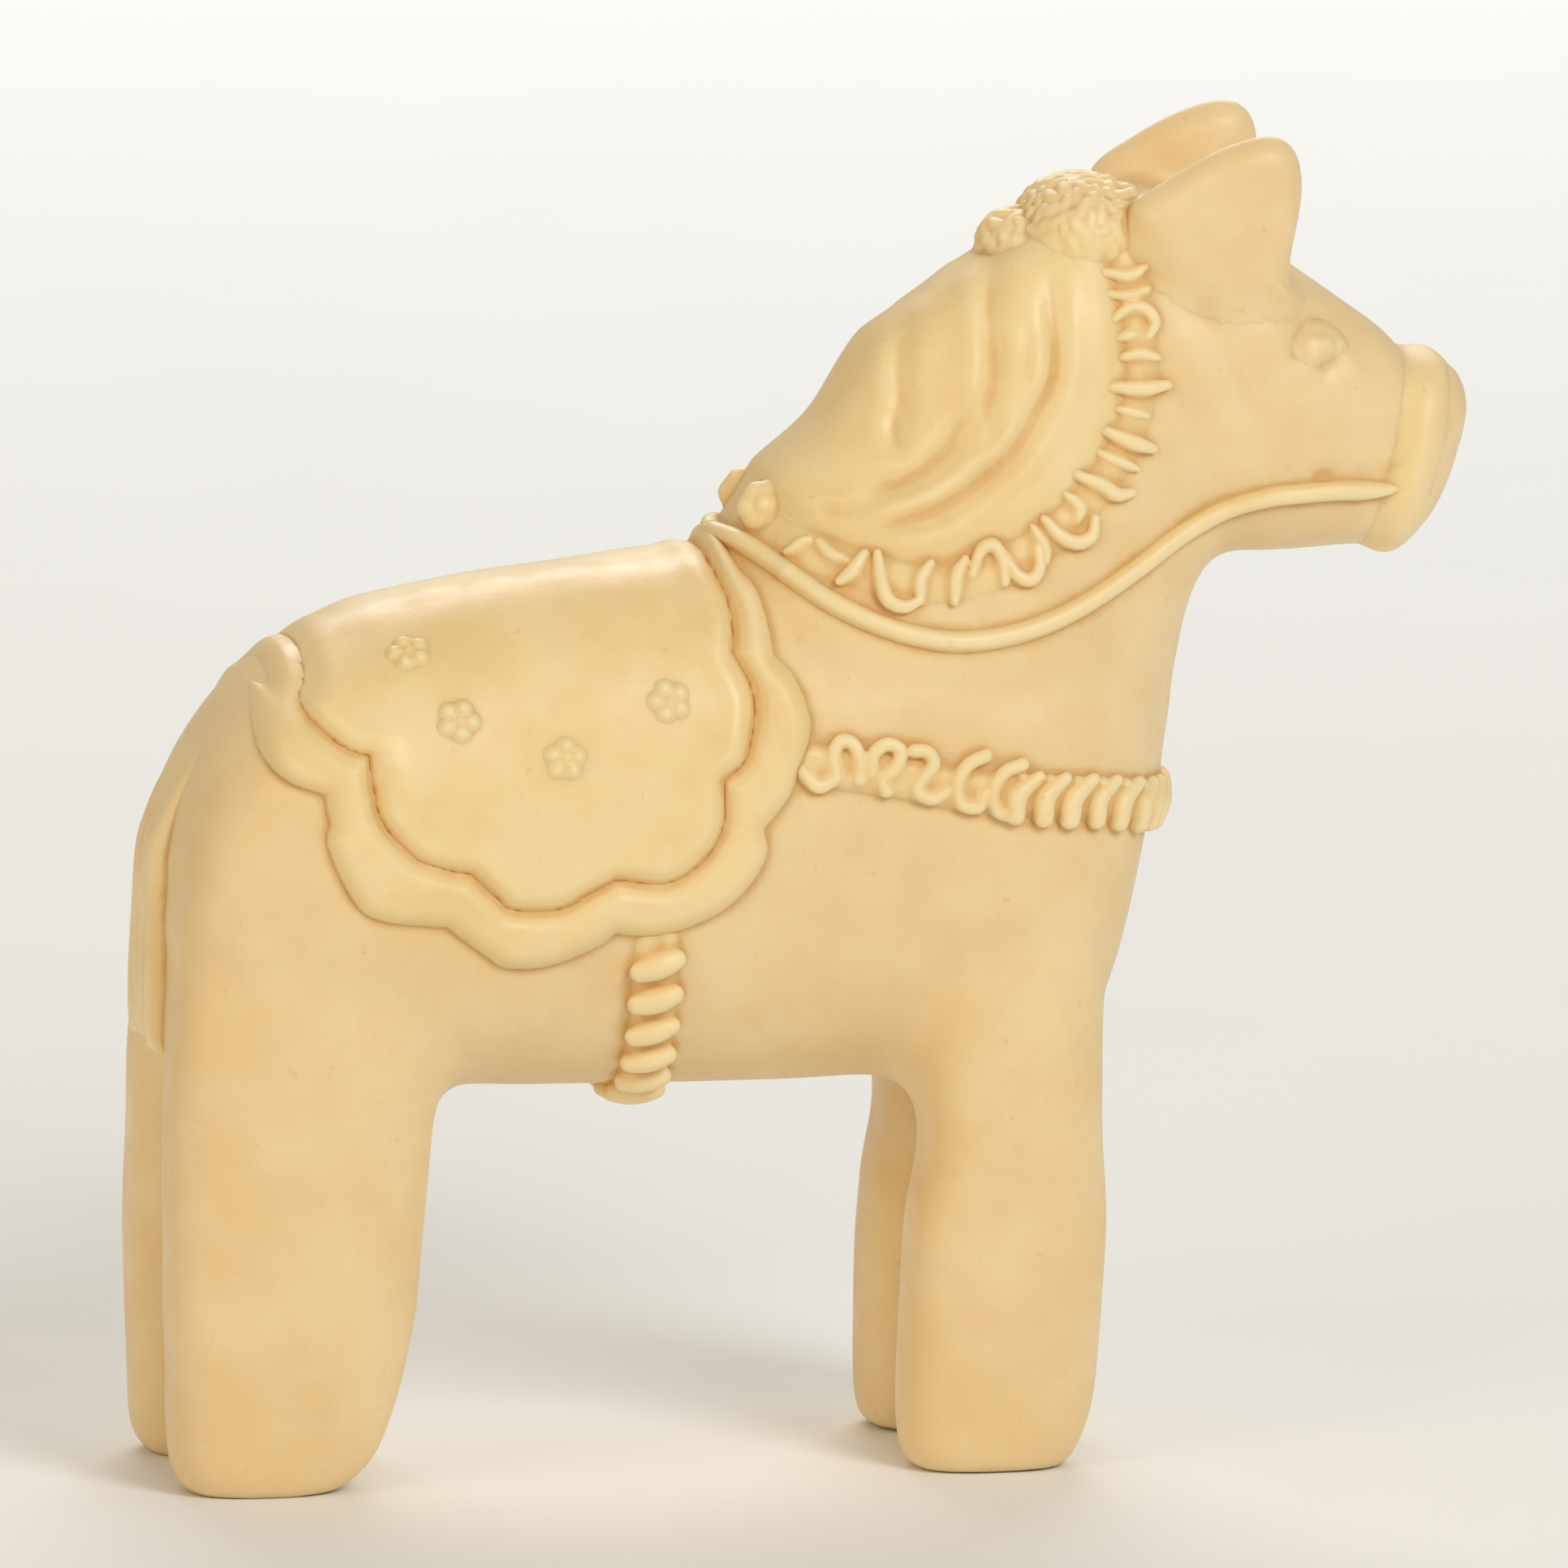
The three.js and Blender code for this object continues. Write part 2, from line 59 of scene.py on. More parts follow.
# Each row of TRUNK and HEAD is one slanted section: top x, top z, bottom x, bottom z and
# half width. Each row of NECK is a level one: z, back x, front x and half width.
TRUNK = [
    [-21.6, 21.6, -21.85, 16.2, 2.6],
    [-21.1, 23.3, -21.75, 15.0, 4.4],
    [-20.0, 25.3, -20.8, 13.9, 5.6],
    [-18.3, 27.2, -18.7, 13.3, 6.2],
    [-16.0, 28.4, -16.0, 13.0, 6.5],
    [-11.0, 29.5, -11.0, 12.9, 6.45],
    [-5.5, 30.1, -5.5, 12.8, 6.35],
    [-1.0, 30.5, -1.0, 12.8, 6.35],
    [4.0, 30.5, 4.0, 12.9, 6.35],
    [8.5, 29.5, 7.5, 13.2, 6.0],
    [11.2, 28.5, 9.2, 13.8, 5.0],
    [12.2, 27.0, 10.0, 15.0, 3.6],
    [12.6, 25.5, 10.6, 16.8, 2.0],
]
NECK = [
    [23.0, -5.0, 12.2, 5.6],
    [27.0, -5.4, 12.9, 5.7],
    [29.2, -5.0, 13.6, 5.4],
    [31.0, -2.9, 14.8, 4.9],
    [33.0, -1.5, 15.3, 4.4],
    [35.0, 0.6, 15.4, 4.0],
    [37.5, 2.2, 15.4, 3.5],
    [39.5, 4.9, 15.4, 3.0],
    [41.2, 7.4, 14.6, 2.5],
    [42.3, 9.2, 12.8, 1.6],
]
HEAD = [
    [9.0, 41.6, 9.5, 31.5, 2.8],
    [12.5, 41.6, 12.5, 30.4, 3.4],
    [15.2, 40.8, 15.0, 30.1, 3.6],
    [17.6, 39.2, 17.0, 30.1, 3.3],
    [19.7, 37.6, 18.6, 30.2, 2.9],
    [20.8, 36.5, 19.3, 30.2, 2.7],
    [21.9, 36.3, 20.4, 30.3, 2.6],
    [22.45, 35.9, 21.2, 30.8, 2.2],
    [22.75, 35.0, 21.85, 31.8, 1.4],
]
# Each row of a leg is a level section: z, back x, front x, inner y and outer y.
FORELEG = [
    [0.0, 3.3, 8.2, 1.9, 5.9],
    [0.5, 2.9, 8.65, 1.6, 6.2],
    [2.5, 2.75, 9.3, 1.5, 6.35],
    [8.0, 3.0, 9.68, 1.4, 6.5],
    [11.0, 3.5, 9.6, 1.2, 6.5],
    [14.5, 3.3, 9.6, 0.9, 6.35],
    [18.5, 2.8, 9.8, 0.6, 5.9],
]
HINDLEG = [
    [0.0, -21.3, -16.4, 1.9, 5.9],
    [0.5, -21.75, -15.7, 1.6, 6.2],
    [1.6, -22.0, -14.9, 1.5, 6.35],
    [5.0, -22.1, -13.9, 1.4, 6.5],
    [9.0, -22.1, -13.4, 1.2, 6.5],
    [14.0, -22.05, -13.0, 0.9, 6.35],
    [18.5, -21.6, -13.6, 0.6, 5.9],
]
TRUNK_POWER = 2.5  # of the superellipse sections: 2 is an ellipse, more is squarer
NECK_POWER = 2.3
HEAD_POWER = 2.6
LEG_POWER = 2.8

# ---- Curves ----


def smooth_path(points, spans=8):
    """Points along the Catmull-Rom curve through the given ones."""
    given = np.asarray(points, float)
    padded = np.vstack([2 * given[0] - given[1], given, 2 * given[-1] - given[-2]])
    t = np.linspace(0, 1, spans, endpoint=False)[:, None]
    parts = []
    for a, b, c, d in zip(padded, padded[1:], padded[2:], padded[3:]):
        bend = 2 * a - 5 * b + 4 * c - d
        twist = 3 * b - a - 3 * c + d
        parts.append((2 * b + (c - a) * t + bend * t**2 + twist * t**3) / 2)
    return np.vstack([*parts, given[-1]])


def closed_path(points, spans):
    """Points round a smooth closed outline."""
    return smooth_path(points + points[:1], spans)[:-1]


def joined(arcs):
    """One line through curved arcs that meet at sharp cusps."""
    return np.vstack([smooth_path(arc) for arc in arcs])


def distances(path):
    """How far along a line each of its points is."""
    return np.concatenate([[0], np.cumsum(np.linalg.norm(np.diff(path, axis=0), axis=1))])


def points_at(path, places):
    """The points at these distances along a line."""
    along = distances(path)
    return np.stack([np.interp(places, along, column) for column in path.T], 1)


def evenly(path, count):
    """That many points at equal distances along a line, its two ends among them."""
    return points_at(path, np.linspace(0, distances(path)[-1], count))


def ease(share):
    """0 up to a share of 0, 1 from a share of 1, and a smooth rise between."""
    t = np.clip(share, 0, 1)
    return t * t * (3 - 2 * t)


def melt(a, b, width):
    """The lower of two fields, rounded where they meet over about that width."""
    h = np.clip(0.5 + 0.5 * (b - a) / width, 0, 1)
    return b + (a - b) * h - width * h * (1 - h)


def melt_corners(a, b, width, step):
    """As melt, but two surfaces that run alongside each other don't swell where they join."""
    alike = sum(p * q for p, q in zip(np.gradient(a, step), np.gradient(b, step)))
    return melt(a, b, width * np.clip(1.1 * (1 - blurred(alike, 2.0)), 0.1, 1))


# ---- Fields ----


def cubic_weights(source, target):
    """The matrix that takes values on one axis to another, and the stretch of the first it reads."""
    place = (target - source[0]) / (source[1] - source[0])
    cell = np.floor(place).astype(int)
    f = place - cell
    taps = [
        -f / 2 + f**2 - f**3 / 2,
        1 - 2.5 * f**2 + 1.5 * f**3,
        f / 2 + 2 * f**2 - 1.5 * f**3,
        (f**3 - f**2) / 2,
    ]
    first = int(np.clip(cell.min() - 1, 0, len(source) - 1))
    last = int(np.clip(cell.max() + 3, 1, len(source)))
    weights = np.zeros((len(target), last - first), np.float32)
    rows = np.arange(len(target))
    for tap, share in enumerate(taps):
        column = np.clip(cell - 1 + tap, first, last - 1) - first
        np.add.at(weights, (rows, column), share)
    return weights, first, last


class Field:
    """A number at each point of a regular grid, whose axes are three rising arrays."""

    def __init__(self, axes, values):
        self.axes = axes
        self.values = values
        self.step = float(axes[0][1] - axes[0][0])

    def on(self, axes):
        """The field at the points of another grid, by cubic interpolation."""
        values = self.values
        for i in range(3):
            weights, first, last = cubic_weights(self.axes[i], axes[i])
            window = np.take(values, np.arange(first, last), i)
            values = np.moveaxis(np.tensordot(weights, window, (1, i)), 0, i)
        return np.ascontiguousarray(values, np.float32)

    def at(self, points):
        """The field at an array of points, by linear interpolation."""
        low = np.array([axis[0] for axis in self.axes])
        place = (points - low) / self.step
        most = np.array(self.values.shape) - 2
        cell = np.clip(np.floor(place).astype(int), 0, most)
        f = np.clip(place - cell, 0, 1)
        total = np.zeros(len(points))
        for corner in np.ndindex(2, 2, 2):
            share = np.prod(np.where(corner, f, 1 - f), axis=1)
            total += share * self.values[tuple((cell + corner).T)]
        return total

    def rise(self, points):
        """How fast the field rises at each point, as vectors."""
        reach = self.step * np.eye(3)
        changes = [self.at(points + r) - self.at(points - r) for r in reach]
        return np.stack(changes, 1) / (2 * self.step)

    def outwards(self, points):
        rise = self.rise(points)
        return rise / np.maximum(np.linalg.norm(rise, axis=1, keepdims=True), TINY)


def blurred(values, sigma):
    """The values blurred by a Gaussian of that many grid steps."""
    reach = math.ceil(2.6 * sigma)
    offsets = np.arange(-reach, reach + 1)
    weights = np.exp(-(offsets**2) / (2 * sigma**2))
    weights = (weights / weights.sum()).astype(np.float32)
    for axis in range(3):
        edges = [(reach, reach) if i == axis else (0, 0) for i in range(3)]
        padded = np.moveaxis(np.pad(values, edges, mode="edge"), axis, 0)
        count = values.shape[axis]
        total = sum(w * padded[i : i + count] for i, w in enumerate(weights))
        values = np.moveaxis(total, 0, axis)
    return np.ascontiguousarray(values, np.float32)


def filled_share(field, reach):
    """How much of the surroundings is solid, over about that reach: half on a flat surface."""
    solid = np.clip(0.5 - field.values / field.step, 0, 1).astype(np.float32)
    return Field(field.axes, blurred(solid, reach / field.step))


def lumps(axes, size, seed):
    """Smooth random lumps of about that size, with values mostly between -1 and 1."""
    random = np.random.default_rng(seed)
    lattice = [np.arange(a[0] - 2 * size, a[-1] + 3 * size, size) for a in axes]
    values = random.uniform(-1, 1, [len(a) for a in lattice]).astype(np.float32)
    return Field(lattice, values).on(axes)


# ---- The body's field ----

BODY_STEP = 0.16 * COARSER
BAND = 3.0  # distances are true up to this far from a surface
LOFT_SIDES = 72
GRID_LOW = (-24.0, -8.3, -0.9)
GRID_HIGH = (24.2, 8.3, 46.2)


def grid_axes(low, high, step):
    """Axes through whole multiples of the step, as OpenVDB has them."""
    ends = [(math.floor(a / step), math.ceil(b / step)) for a, b in zip(low, high)]
    return [np.arange(i, j + 1) * step for i, j in ends]


BODY_AXES = grid_axes(GRID_LOW, GRID_HIGH, BODY_STEP)


def loft(centres, ups, halves, power):
    """The field of a closed loft: each section has a centre, one half axis and a half width."""
    turn = np.linspace(0, 2 * np.pi, LOFT_SIDES, endpoint=False)
    along = np.sign(np.cos(turn)) * np.abs(np.cos(turn)) ** (2 / power)
    across = np.sign(np.sin(turn)) * np.abs(np.sin(turn)) ** (2 / power)
    sideways = np.array([0.0, 1.0, 0.0])
    rings = (
        centres[:, None]
        + ups[:, None] * along[None, :, None]
        + halves[:, None, None] * sideways * across[None, :, None]
    )
    count = len(centres)
    points = np.vstack([rings.reshape(-1, 3), centres[:1], centres[-1:]])
    ring, side = np.meshgrid(np.arange(count - 1), np.arange(LOFT_SIDES), indexing="ij")
    beyond = (side + 1) % LOFT_SIDES
    below = ring * LOFT_SIDES
    above = below + LOFT_SIDES
    quads = np.stack([below + side, below + beyond, above + beyond, above + side], -1)
    here = np.arange(LOFT_SIDES)
    there = (here + 1) % LOFT_SIDES
    top = (count - 1) * LOFT_SIDES
    first = np.stack([np.full_like(here, len(points) - 2), there, here], 1)
    last = np.stack([np.full_like(here, len(points) - 1), top + here, top + there], 1)
    level_set = openvdb.FloatGrid.createLevelSetFromPolygons(
        points.astype(np.float32),
        triangles=np.vstack([first, last]).astype(np.uint32),
        quads=quads.reshape(-1, 4).astype(np.uint32),
        transform=openvdb.createLinearTransform(voxelSize=BODY_STEP),
        halfWidth=BAND / BODY_STEP,
    )
    values = np.zeros([len(axis) for axis in BODY_AXES], np.float32)
    corner = [round(float(axis[0]) / BODY_STEP) for axis in BODY_AXES]
    level_set.copyToArray(values, ijk=corner)
    return values


def slanted_loft(rows, power):
    top_x, top_z, bottom_x, bottom_z, half = smooth_path(rows, 6).T
    level = np.zeros_like(half)
    centres = np.stack([(top_x + bottom_x) / 2, level, (top_z + bottom_z) / 2], 1)
    ups = np.stack([(top_x - bottom_x) / 2, level, (top_z - bottom_z) / 2], 1)
    return loft(centres, ups, half, power)


def level_loft(rows, power):
    z, back, front, inner, outer = smooth_path(rows, 6).T
    level = np.zeros_like(z)
    centres = np.stack([(back + front) / 2, (inner + outer) / 2, z], 1)
    ups = np.stack([(front - back) / 2, level, level], 1)
    return loft(centres, ups, (outer - inner) / 2, power)


def leg_pair(rows):
    """Both legs' fields in one: the grid is symmetric, so the left leg's is turned over."""
    left = level_loft(rows, LEG_POWER)
    return np.minimum(left, left[:, ::-1])


NECK_MELT = 2.2
HEAD_MELT = 1.6
LEG_MELT = 2.0
SOFTEN = 0.2  # how far the edges of the whole body are rounded
HAND_MARKS = ((4.5, 0.07), (1.8, 0.025))  # size and height of the unevenness of a hand-made master


def body_field():
    neck_rows = [[z, back, front, -half, half] for z, back, front, half in NECK]
    neck = level_loft(neck_rows, NECK_POWER)
    values = melt_corners(slanted_loft(TRUNK, TRUNK_POWER), neck, NECK_MELT, BODY_STEP)
    values = melt_corners(values, slanted_loft(HEAD, HEAD_POWER), HEAD_MELT, BODY_STEP)
    for rows in (FORELEG, HINDLEG):
        values = melt_corners(values, leg_pair(rows), LEG_MELT, BODY_STEP)
    values = blurred(values, SOFTEN / BODY_STEP)
    for seed, (size, height) in enumerate(HAND_MARKS):
        values += height * lumps(BODY_AXES, size, seed)
    return Field(BODY_AXES, values)


body = body_field()

# ---- Points on the body ----


def onto_body(points, lift=0.0):
    """The points moved square to the body's surface until they are that far above it."""
    points = np.array(points, float)
    for _ in range(8):
        short = body.at(points) - lift
        points -= body.outwards(points) * np.clip(short, -1, 1)[:, None]
    return points


def flank(path, side, lift=0.0):
    """A side view's points, as x and z, on the body's flank: side is 1 for left, -1 for right."""
    path = np.asarray(path, float)
    reach = np.arange(7.9, 0, -0.1)
    columns = np.repeat(path[:, None], len(reach), 1)
    rays = np.stack([columns[..., 0], columns[..., 1] * 0, columns[..., 1]], -1)
    rays[..., 1] = side * reach
    depths = body.at(rays.reshape(-1, 3)).reshape(len(path), -1)
    hit = np.argmax(depths < lift, axis=1)
    points = np.stack([path[:, 0], side * reach[hit], path[:, 1]], 1)
    return onto_body(points, lift)


def ray_onto_body(start, directions, lift=0.0):
    """Where rays that come in from outside towards one start point meet the body."""
    reach = np.arange(24, 0, -0.1)
    rays = start + directions[:, None] * reach[:, None]
    depths = body.at(rays.reshape(-1, 3)).reshape(len(directions), -1)
    hit = np.argmax(depths < lift, axis=1)
    return onto_body(start + directions * reach[hit][:, None], lift)


# ---- Blocks: fine grids over the parts of the body that trim lies on ----

SUNK = 0.25  # how far a trim's underside lies below the surface under it
TUCK = 0.035  # how far a whole trim is let into that surface, so that its rim is out of sight
FINE_TUCK = 0.012  # the same for the ears, eyes and noseband, which run smoothly into the head
LIP = 0.3  # a trim ends where its form stands only this share of the tuck proud
FAR = 1.2  # a single form's field is worked out up to this far from its surface
BROAD_STEP = 0.1  # the grids' steps under broad trims, under cords and under the smallest trims
CORD_STEP = 0.085
SMALL_STEP = 0.06
TRIM_MELT = 0.2  # over how wide a line most of the small trims melt into what they lie on


def window(axes, low, high):
    """The slices of a grid between two corners."""
    return tuple(slice(*np.searchsorted(axis, [a, b])) for axis, a, b in zip(axes, low, high))


class Block:
    """A box-shaped grid, and the body's field on it."""

    def __init__(self, axes):
        self.axes = axes
        self.step = float(axes[0][1] - axes[0][0])
        x, y, z = (axis.astype(np.float32) for axis in axes)
        self.x = x[:, None, None]
        self.y = y[None, :, None]
        self.z = z[None, None, :]
        self.shape = (len(x), len(y), len(z))
        self.body = body.on(axes)

    def empty(self, far=FAR):
        """A field with nothing in it yet: that far from everything."""
        return np.full(self.shape, far, np.float32)

    def body_with(self, *trims):
        """The field of the body together with these trims."""
        return np.minimum.reduce([self.body, *(trim.on(self.axes) for trim in trims)])


def block_between(low, high, step):
    step = step * COARSER
    return Block([np.arange(a, b + step, step) for a, b in zip(low, high)])


def block_round(points, margin, step):
    points = np.asarray(points)
    return block_between(points.min(0) - margin, points.max(0) + margin, step)


def tube(block, points, radius, into=None, far=FAR):
    """The field of a round bar through the points. The radius is one number, or one for each."""
    values = block.empty(far) if into is None else into
    radii = np.broadcast_to(radius, len(points))
    for a, b, ra, rb in zip(points, points[1:], radii, radii[1:]):
        reach = max(ra, rb) + far
        part = window(block.axes, np.minimum(a, b) - reach, np.maximum(a, b) + reach)
        dx = block.x[part[0]] - a[0]
        dy = block.y[:, part[1]] - a[1]
        dz = block.z[:, :, part[2]] - a[2]
        way = b - a
        share = (dx * way[0] + dy * way[1] + dz * way[2]) / max(way @ way, TINY)
        share = np.clip(share, 0, 1)
        gap = np.sqrt(
            (dx - share * way[0]) ** 2 + (dy - share * way[1]) ** 2 + (dz - share * way[2]) ** 2
        )
        values[part] = np.minimum(values[part], gap - (ra + share * (rb - ra)))
    return values


def ball(block, centre, radius, into=None):
    centre = np.asarray(centre, float)
    return tube(block, np.stack([centre, centre]), radius, into)


def along_and_away(block, path):
    """For each x and z of a block, the nearest place on a side view's line and how far off it is.
    The places run from 0 to 1."""
    nearest = np.full((block.shape[0], 1, block.shape[2]), BEYOND, np.float32)
    place = np.zeros_like(nearest)
    for i, (a, b) in enumerate(zip(path, path[1:])):
        way = b - a
        dx = block.x - a[0]
        dz = block.z - a[1]
        share = np.clip((dx * way[0] + dz * way[1]) / max(way @ way, TINY), 0, 1)
        gap = np.hypot(dx - share * way[0], dz - share * way[1])
        place = np.where(gap < nearest, (i + share) / (len(path) - 1), place)
        nearest = np.minimum(nearest, gap)
    return place, nearest


def side_distance(block, path):
    """How far each x and z of a block is from a side view's line."""
    return along_and_away(block, path)[1]


def side_depth(block, outline):
    """How far each x and z is inside a side view's closed outline: below 0 outside it."""
    closed = np.vstack([outline, outline[:1]])
    within = np.zeros((block.shape[0], 1, block.shape[2]), bool)
    for (ax, az), (bx, bz) in zip(closed, closed[1:]):
        if az == bz:
            continue
        spans = (block.z < az) != (block.z < bz)
        crossing = ax + (bx - ax) * (block.z - az) / (bz - az)
        within ^= spans & (block.x < crossing)
    return np.where(within, 1, -1) * side_distance(block, closed)


# ---- Surfaces ----

CORNERS = list(np.ndindex(2, 2, 2))
PAIRS = [(a, b) for a in CORNERS for b in CORNERS if a < b]
EDGES = [(a, b) for a, b in PAIRS if np.abs(np.subtract(b, a)).sum() == 1]
LEAST_QUADS = 60


def surface_net(field):
    """The zero surface of a field: one point in each cell that it crosses, joined by quads."""
    values = field.values
    inside = values < 0
    cells = [tuple(slice(c, n - 1 + c) for c, n in zip(corner, values.shape)) for corner in CORNERS]
    full = sum(inside[cell].astype(np.int8) for cell in cells)
    places = np.argwhere((full > 0) & (full < 8))
    number = np.full(full.shape, -1, np.int32)
    number[tuple(places.T)] = np.arange(len(places))
    at_corner = {c: values[tuple((places + c).T)] for c in CORNERS}
    total = np.zeros((len(places), 3))
    count = np.zeros(len(places))
    for a, b in EDGES:
        crosses = (at_corner[a] < 0) != (at_corner[b] < 0)
        share = at_corner[a] / np.where(crosses, at_corner[a] - at_corner[b], 1)
        point = np.array(a) + share[:, None] * np.subtract(b, a)
        total += crosses[:, None] * point
        count += crosses
    points = places + total / count[:, None]
    quads = []
    for axis in range(3):
        quads.append(crossing_quads(inside, number, axis))
    low = np.array([a[0] for a in field.axes])
    return low + points * field.step, np.vstack(quads)


def crossing_quads(inside, number, axis):
    """A quad round each grid line along the axis that passes through the surface."""
    b = (axis + 1) % 3
    c = (axis + 2) % 3
    lower = [slice(1, -1)] * 3
    upper = [slice(1, -1)] * 3
    lower[axis] = slice(0, -1)
    upper[axis] = slice(1, None)
    start_in = inside[tuple(lower)]
    end_in = inside[tuple(upper)]
    places = np.argwhere(start_in != end_in)
    rising = start_in[tuple(places.T)]
    first = np.ones(3, int)
    first[axis] = 0
    places = places + first
    step_b = np.eye(3, dtype=int)[b]
    step_c = np.eye(3, dtype=int)[c]
    ring = [places - step_b - step_c, places - step_c, places, places - step_b]
    quads = np.stack([number[tuple(p.T)] for p in ring], 1)
    return np.where(rising[:, None], quads, quads[:, ::-1])


def without_crumbs(points, quads):
    """The surface without its loose parts of fewer than LEAST_QUADS quads."""
    label = np.arange(len(points))
    while True:
        lowest = label[quads].min(1)
        new = label.copy()
        np.minimum.at(new, quads.ravel(), np.repeat(lowest, 4))
        new = new[new]
        if (new == label).all():
            break
        label = new
    sizes = np.bincount(label[quads[:, 0]], minlength=len(points))
    kept = quads[sizes[label[quads[:, 0]]] >= LEAST_QUADS]
    used = np.unique(kept)
    renumber = np.zeros(len(points), int)
    renumber[used] = np.arange(len(used))
    return points[used], renumber[kept]


def settled(points, field, rounds=3):
    """The points moved onto the zero surface of a field."""
    for _ in range(rounds):
        rise = field.rise(points)
        steep = np.maximum((rise**2).sum(1), 0.05)
        move = np.clip(field.at(points) / steep, -field.step, field.step)
        points = points - rise * move[:, None]
    return points


# ---- Casting: from a field to a piece ----

total = Field(BODY_AXES, body.values.copy())  # the body and every trim so far, on the body's grid
made = []


def mesh_of(name, points, quads):
    mesh = bpy.data.meshes.new(name)
    mesh.vertices.add(len(points))
    placed = (points - np.array([MIDDLE_X, 0, 0])) * MM
    mesh.vertices.foreach_set("co", placed.astype(np.float32).ravel())
    mesh.loops.add(quads.size)
    mesh.loops.foreach_set("vertex_index", quads.astype(np.int32).ravel())
    mesh.polygons.add(len(quads))
    mesh.polygons.foreach_set("loop_start", np.arange(0, quads.size, 4, dtype=np.int32))
    mesh.polygons.foreach_set("use_smooth", np.ones(len(quads), bool))
    mesh.update(calc_edges=True)
    mesh.validate()
    piece = bpy.data.objects.new(name, mesh)
    bpy.context.scene.collection.objects.link(piece)
    return piece


def stamp(field):
    """Adds a trim to the field of the whole horse."""
    low = [axis[0] for axis in field.axes]
    high = [axis[-1] for axis in field.axes]
    part = window(total.axes, low, high)
    axes = [axis[s] for axis, s in zip(total.axes, part)]
    total.values[part] = np.minimum(total.values[part], field.on(axes))


def cast(node, block, raised, finish, under=None, tuck=TUCK):
    """A piece in place of a CAD node: what a raised form has above the surface under it."""
    under = block.body if under is None else under
    values = np.maximum.reduce([raised + tuck, -(under + SUNK), raised - under + LIP * tuck])
    for i in range(3):
        ends = [slice(None)] * 3
        ends[i] = [0, -1]
        values[tuple(ends)] = np.maximum(values[tuple(ends)], block.step)
    field = Field(block.axes, values.astype(np.float32))
    points, quads = surface_net(field)
    points, quads = without_crumbs(points, quads)
    solid = Field(block.axes, np.minimum(raised + tuck, under).astype(np.float32))
    stamp(solid)
    keep(node, points, quads, solid, finish)
    return field


def keep(node, points, quads, solid, finish):
    piece = mesh_of(node + "_cast", points, quads)
    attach(piece, "root")
    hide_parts(node)
    made.append((piece, points, solid, finish))


SIDES = {"right": -1, "left": 1}  # which way along Y each side is

# ---- Marks pressed into the body: cheeks, eye sockets and mouth ----

# A side view's line, how wide the mark is and how deep: below 0 stands proud.
HEAD_MARKS = [
    ([[13.2, 38.6], [13.8, 37.6], [14.3, 36.6], [14.7, 35.6]], 0.62, 0.2),
    ([[12.6, 36.6], [12.9, 34.6], [13.3, 33.4]], 1.5, -0.16),
    ([[17.4, 36.55], [17.7, 36.7]], 0.36, 0.2),
    ([[16.3, 37.2], [16.65, 37.95], [17.2, 38.15]], 0.4, 0.15),
    ([[17.9, 36.9], [18.5, 36.2]], 0.5, -0.12),
    ([[17.2, 32.98], [17.45, 32.98]], 0.24, 0.24),
    ([[17.5, 32.98], [19.2, 33.1], [20.6, 33.3]], 0.3, 0.08),
]


def press_marks():
    """Each mark is a smooth rise or fall of the body's own field round its line."""
    for line, width, depth in HEAD_MARKS:
        for side in SIDES.values():
            path = flank(smooth_path(line, 3), side)
            reach = 3 * width
            part = window(body.axes, path.min(0) - reach, path.max(0) + reach)
            block = Block([axis[s] for axis, s in zip(body.axes, part)])
            gap = tube(block, path, 0.0, far=reach)
            body.values[part] += depth * np.exp(-((gap / width) ** 2))


press_marks()
SOLE_Z = 0.0
body.values[:] = np.maximum(body.values, SOLE_Z - BODY_AXES[2][None, None, :])
total.values[:] = body.values

# ---- Saddle blanket ----

# The scallops of the border's outer edge and of its inner line, from the withers down and back to
# the rump. Each arc runs from one cusp to the next.
BLANKET_EDGE = [
    [[-3.4, 34.0], [-2.65, 30.8], [-2.1, 29.9], [-1.85, 29.0], [-1.7, 27.8]],
    [[-1.7, 27.8], [-1.05, 27.0], [-0.65, 25.4], [-1.3, 23.4], [-2.25, 22.1]],
    [[-2.25, 22.1], [-2.2, 21.2], [-2.85, 20.1], [-3.95, 19.2], [-5.8, 18.55], [-7.3, 18.7]],
    [[-7.3, 18.7], [-8.0, 18.2], [-9.6, 17.65], [-11.0, 17.65], [-11.8, 18.15], [-13.05, 19.1]],
    [[-13.05, 19.1], [-15.2, 19.4], [-16.2, 20.1], [-17.05, 21.95], [-17.0, 22.75], [-17.15, 23.65]],
    [[-17.15, 23.65], [-18.3, 24.1], [-18.95, 24.85], [-19.1, 25.8], [-18.8, 26.8], [-18.2, 27.6],
     [-17.9, 34.0]],
]
PANEL_EDGE = [
    [[-4.3, 34.0], [-3.3, 30.4], [-3.0, 29.2], [-3.1, 27.9]],
    [[-3.1, 27.9], [-2.6, 26.8], [-2.55, 25.8], [-2.9, 24.45], [-3.65, 23.75]],
    [[-3.65, 23.75], [-3.65, 22.4], [-4.2, 21.3], [-5.5, 20.4], [-7.35, 20.55]],
    [[-7.35, 20.55], [-8.25, 20.1], [-9.3, 19.6], [-10.8, 19.65], [-11.4, 20.1], [-12.25, 20.9]],
    [[-12.25, 20.9], [-13.3, 21.15], [-14.25, 21.6], [-15.2, 22.7], [-15.45, 23.6], [-15.6, 24.9]],
    [[-15.6, 24.9], [-16.4, 25.2], [-17.35, 26.0], [-17.6, 26.7], [-17.2, 27.9], [-16.6, 34.0]],
]
RIM_HEIGHT = 0.6
RIM_ROUNDING = 0.75  # how far in from the edge the rim keeps rising
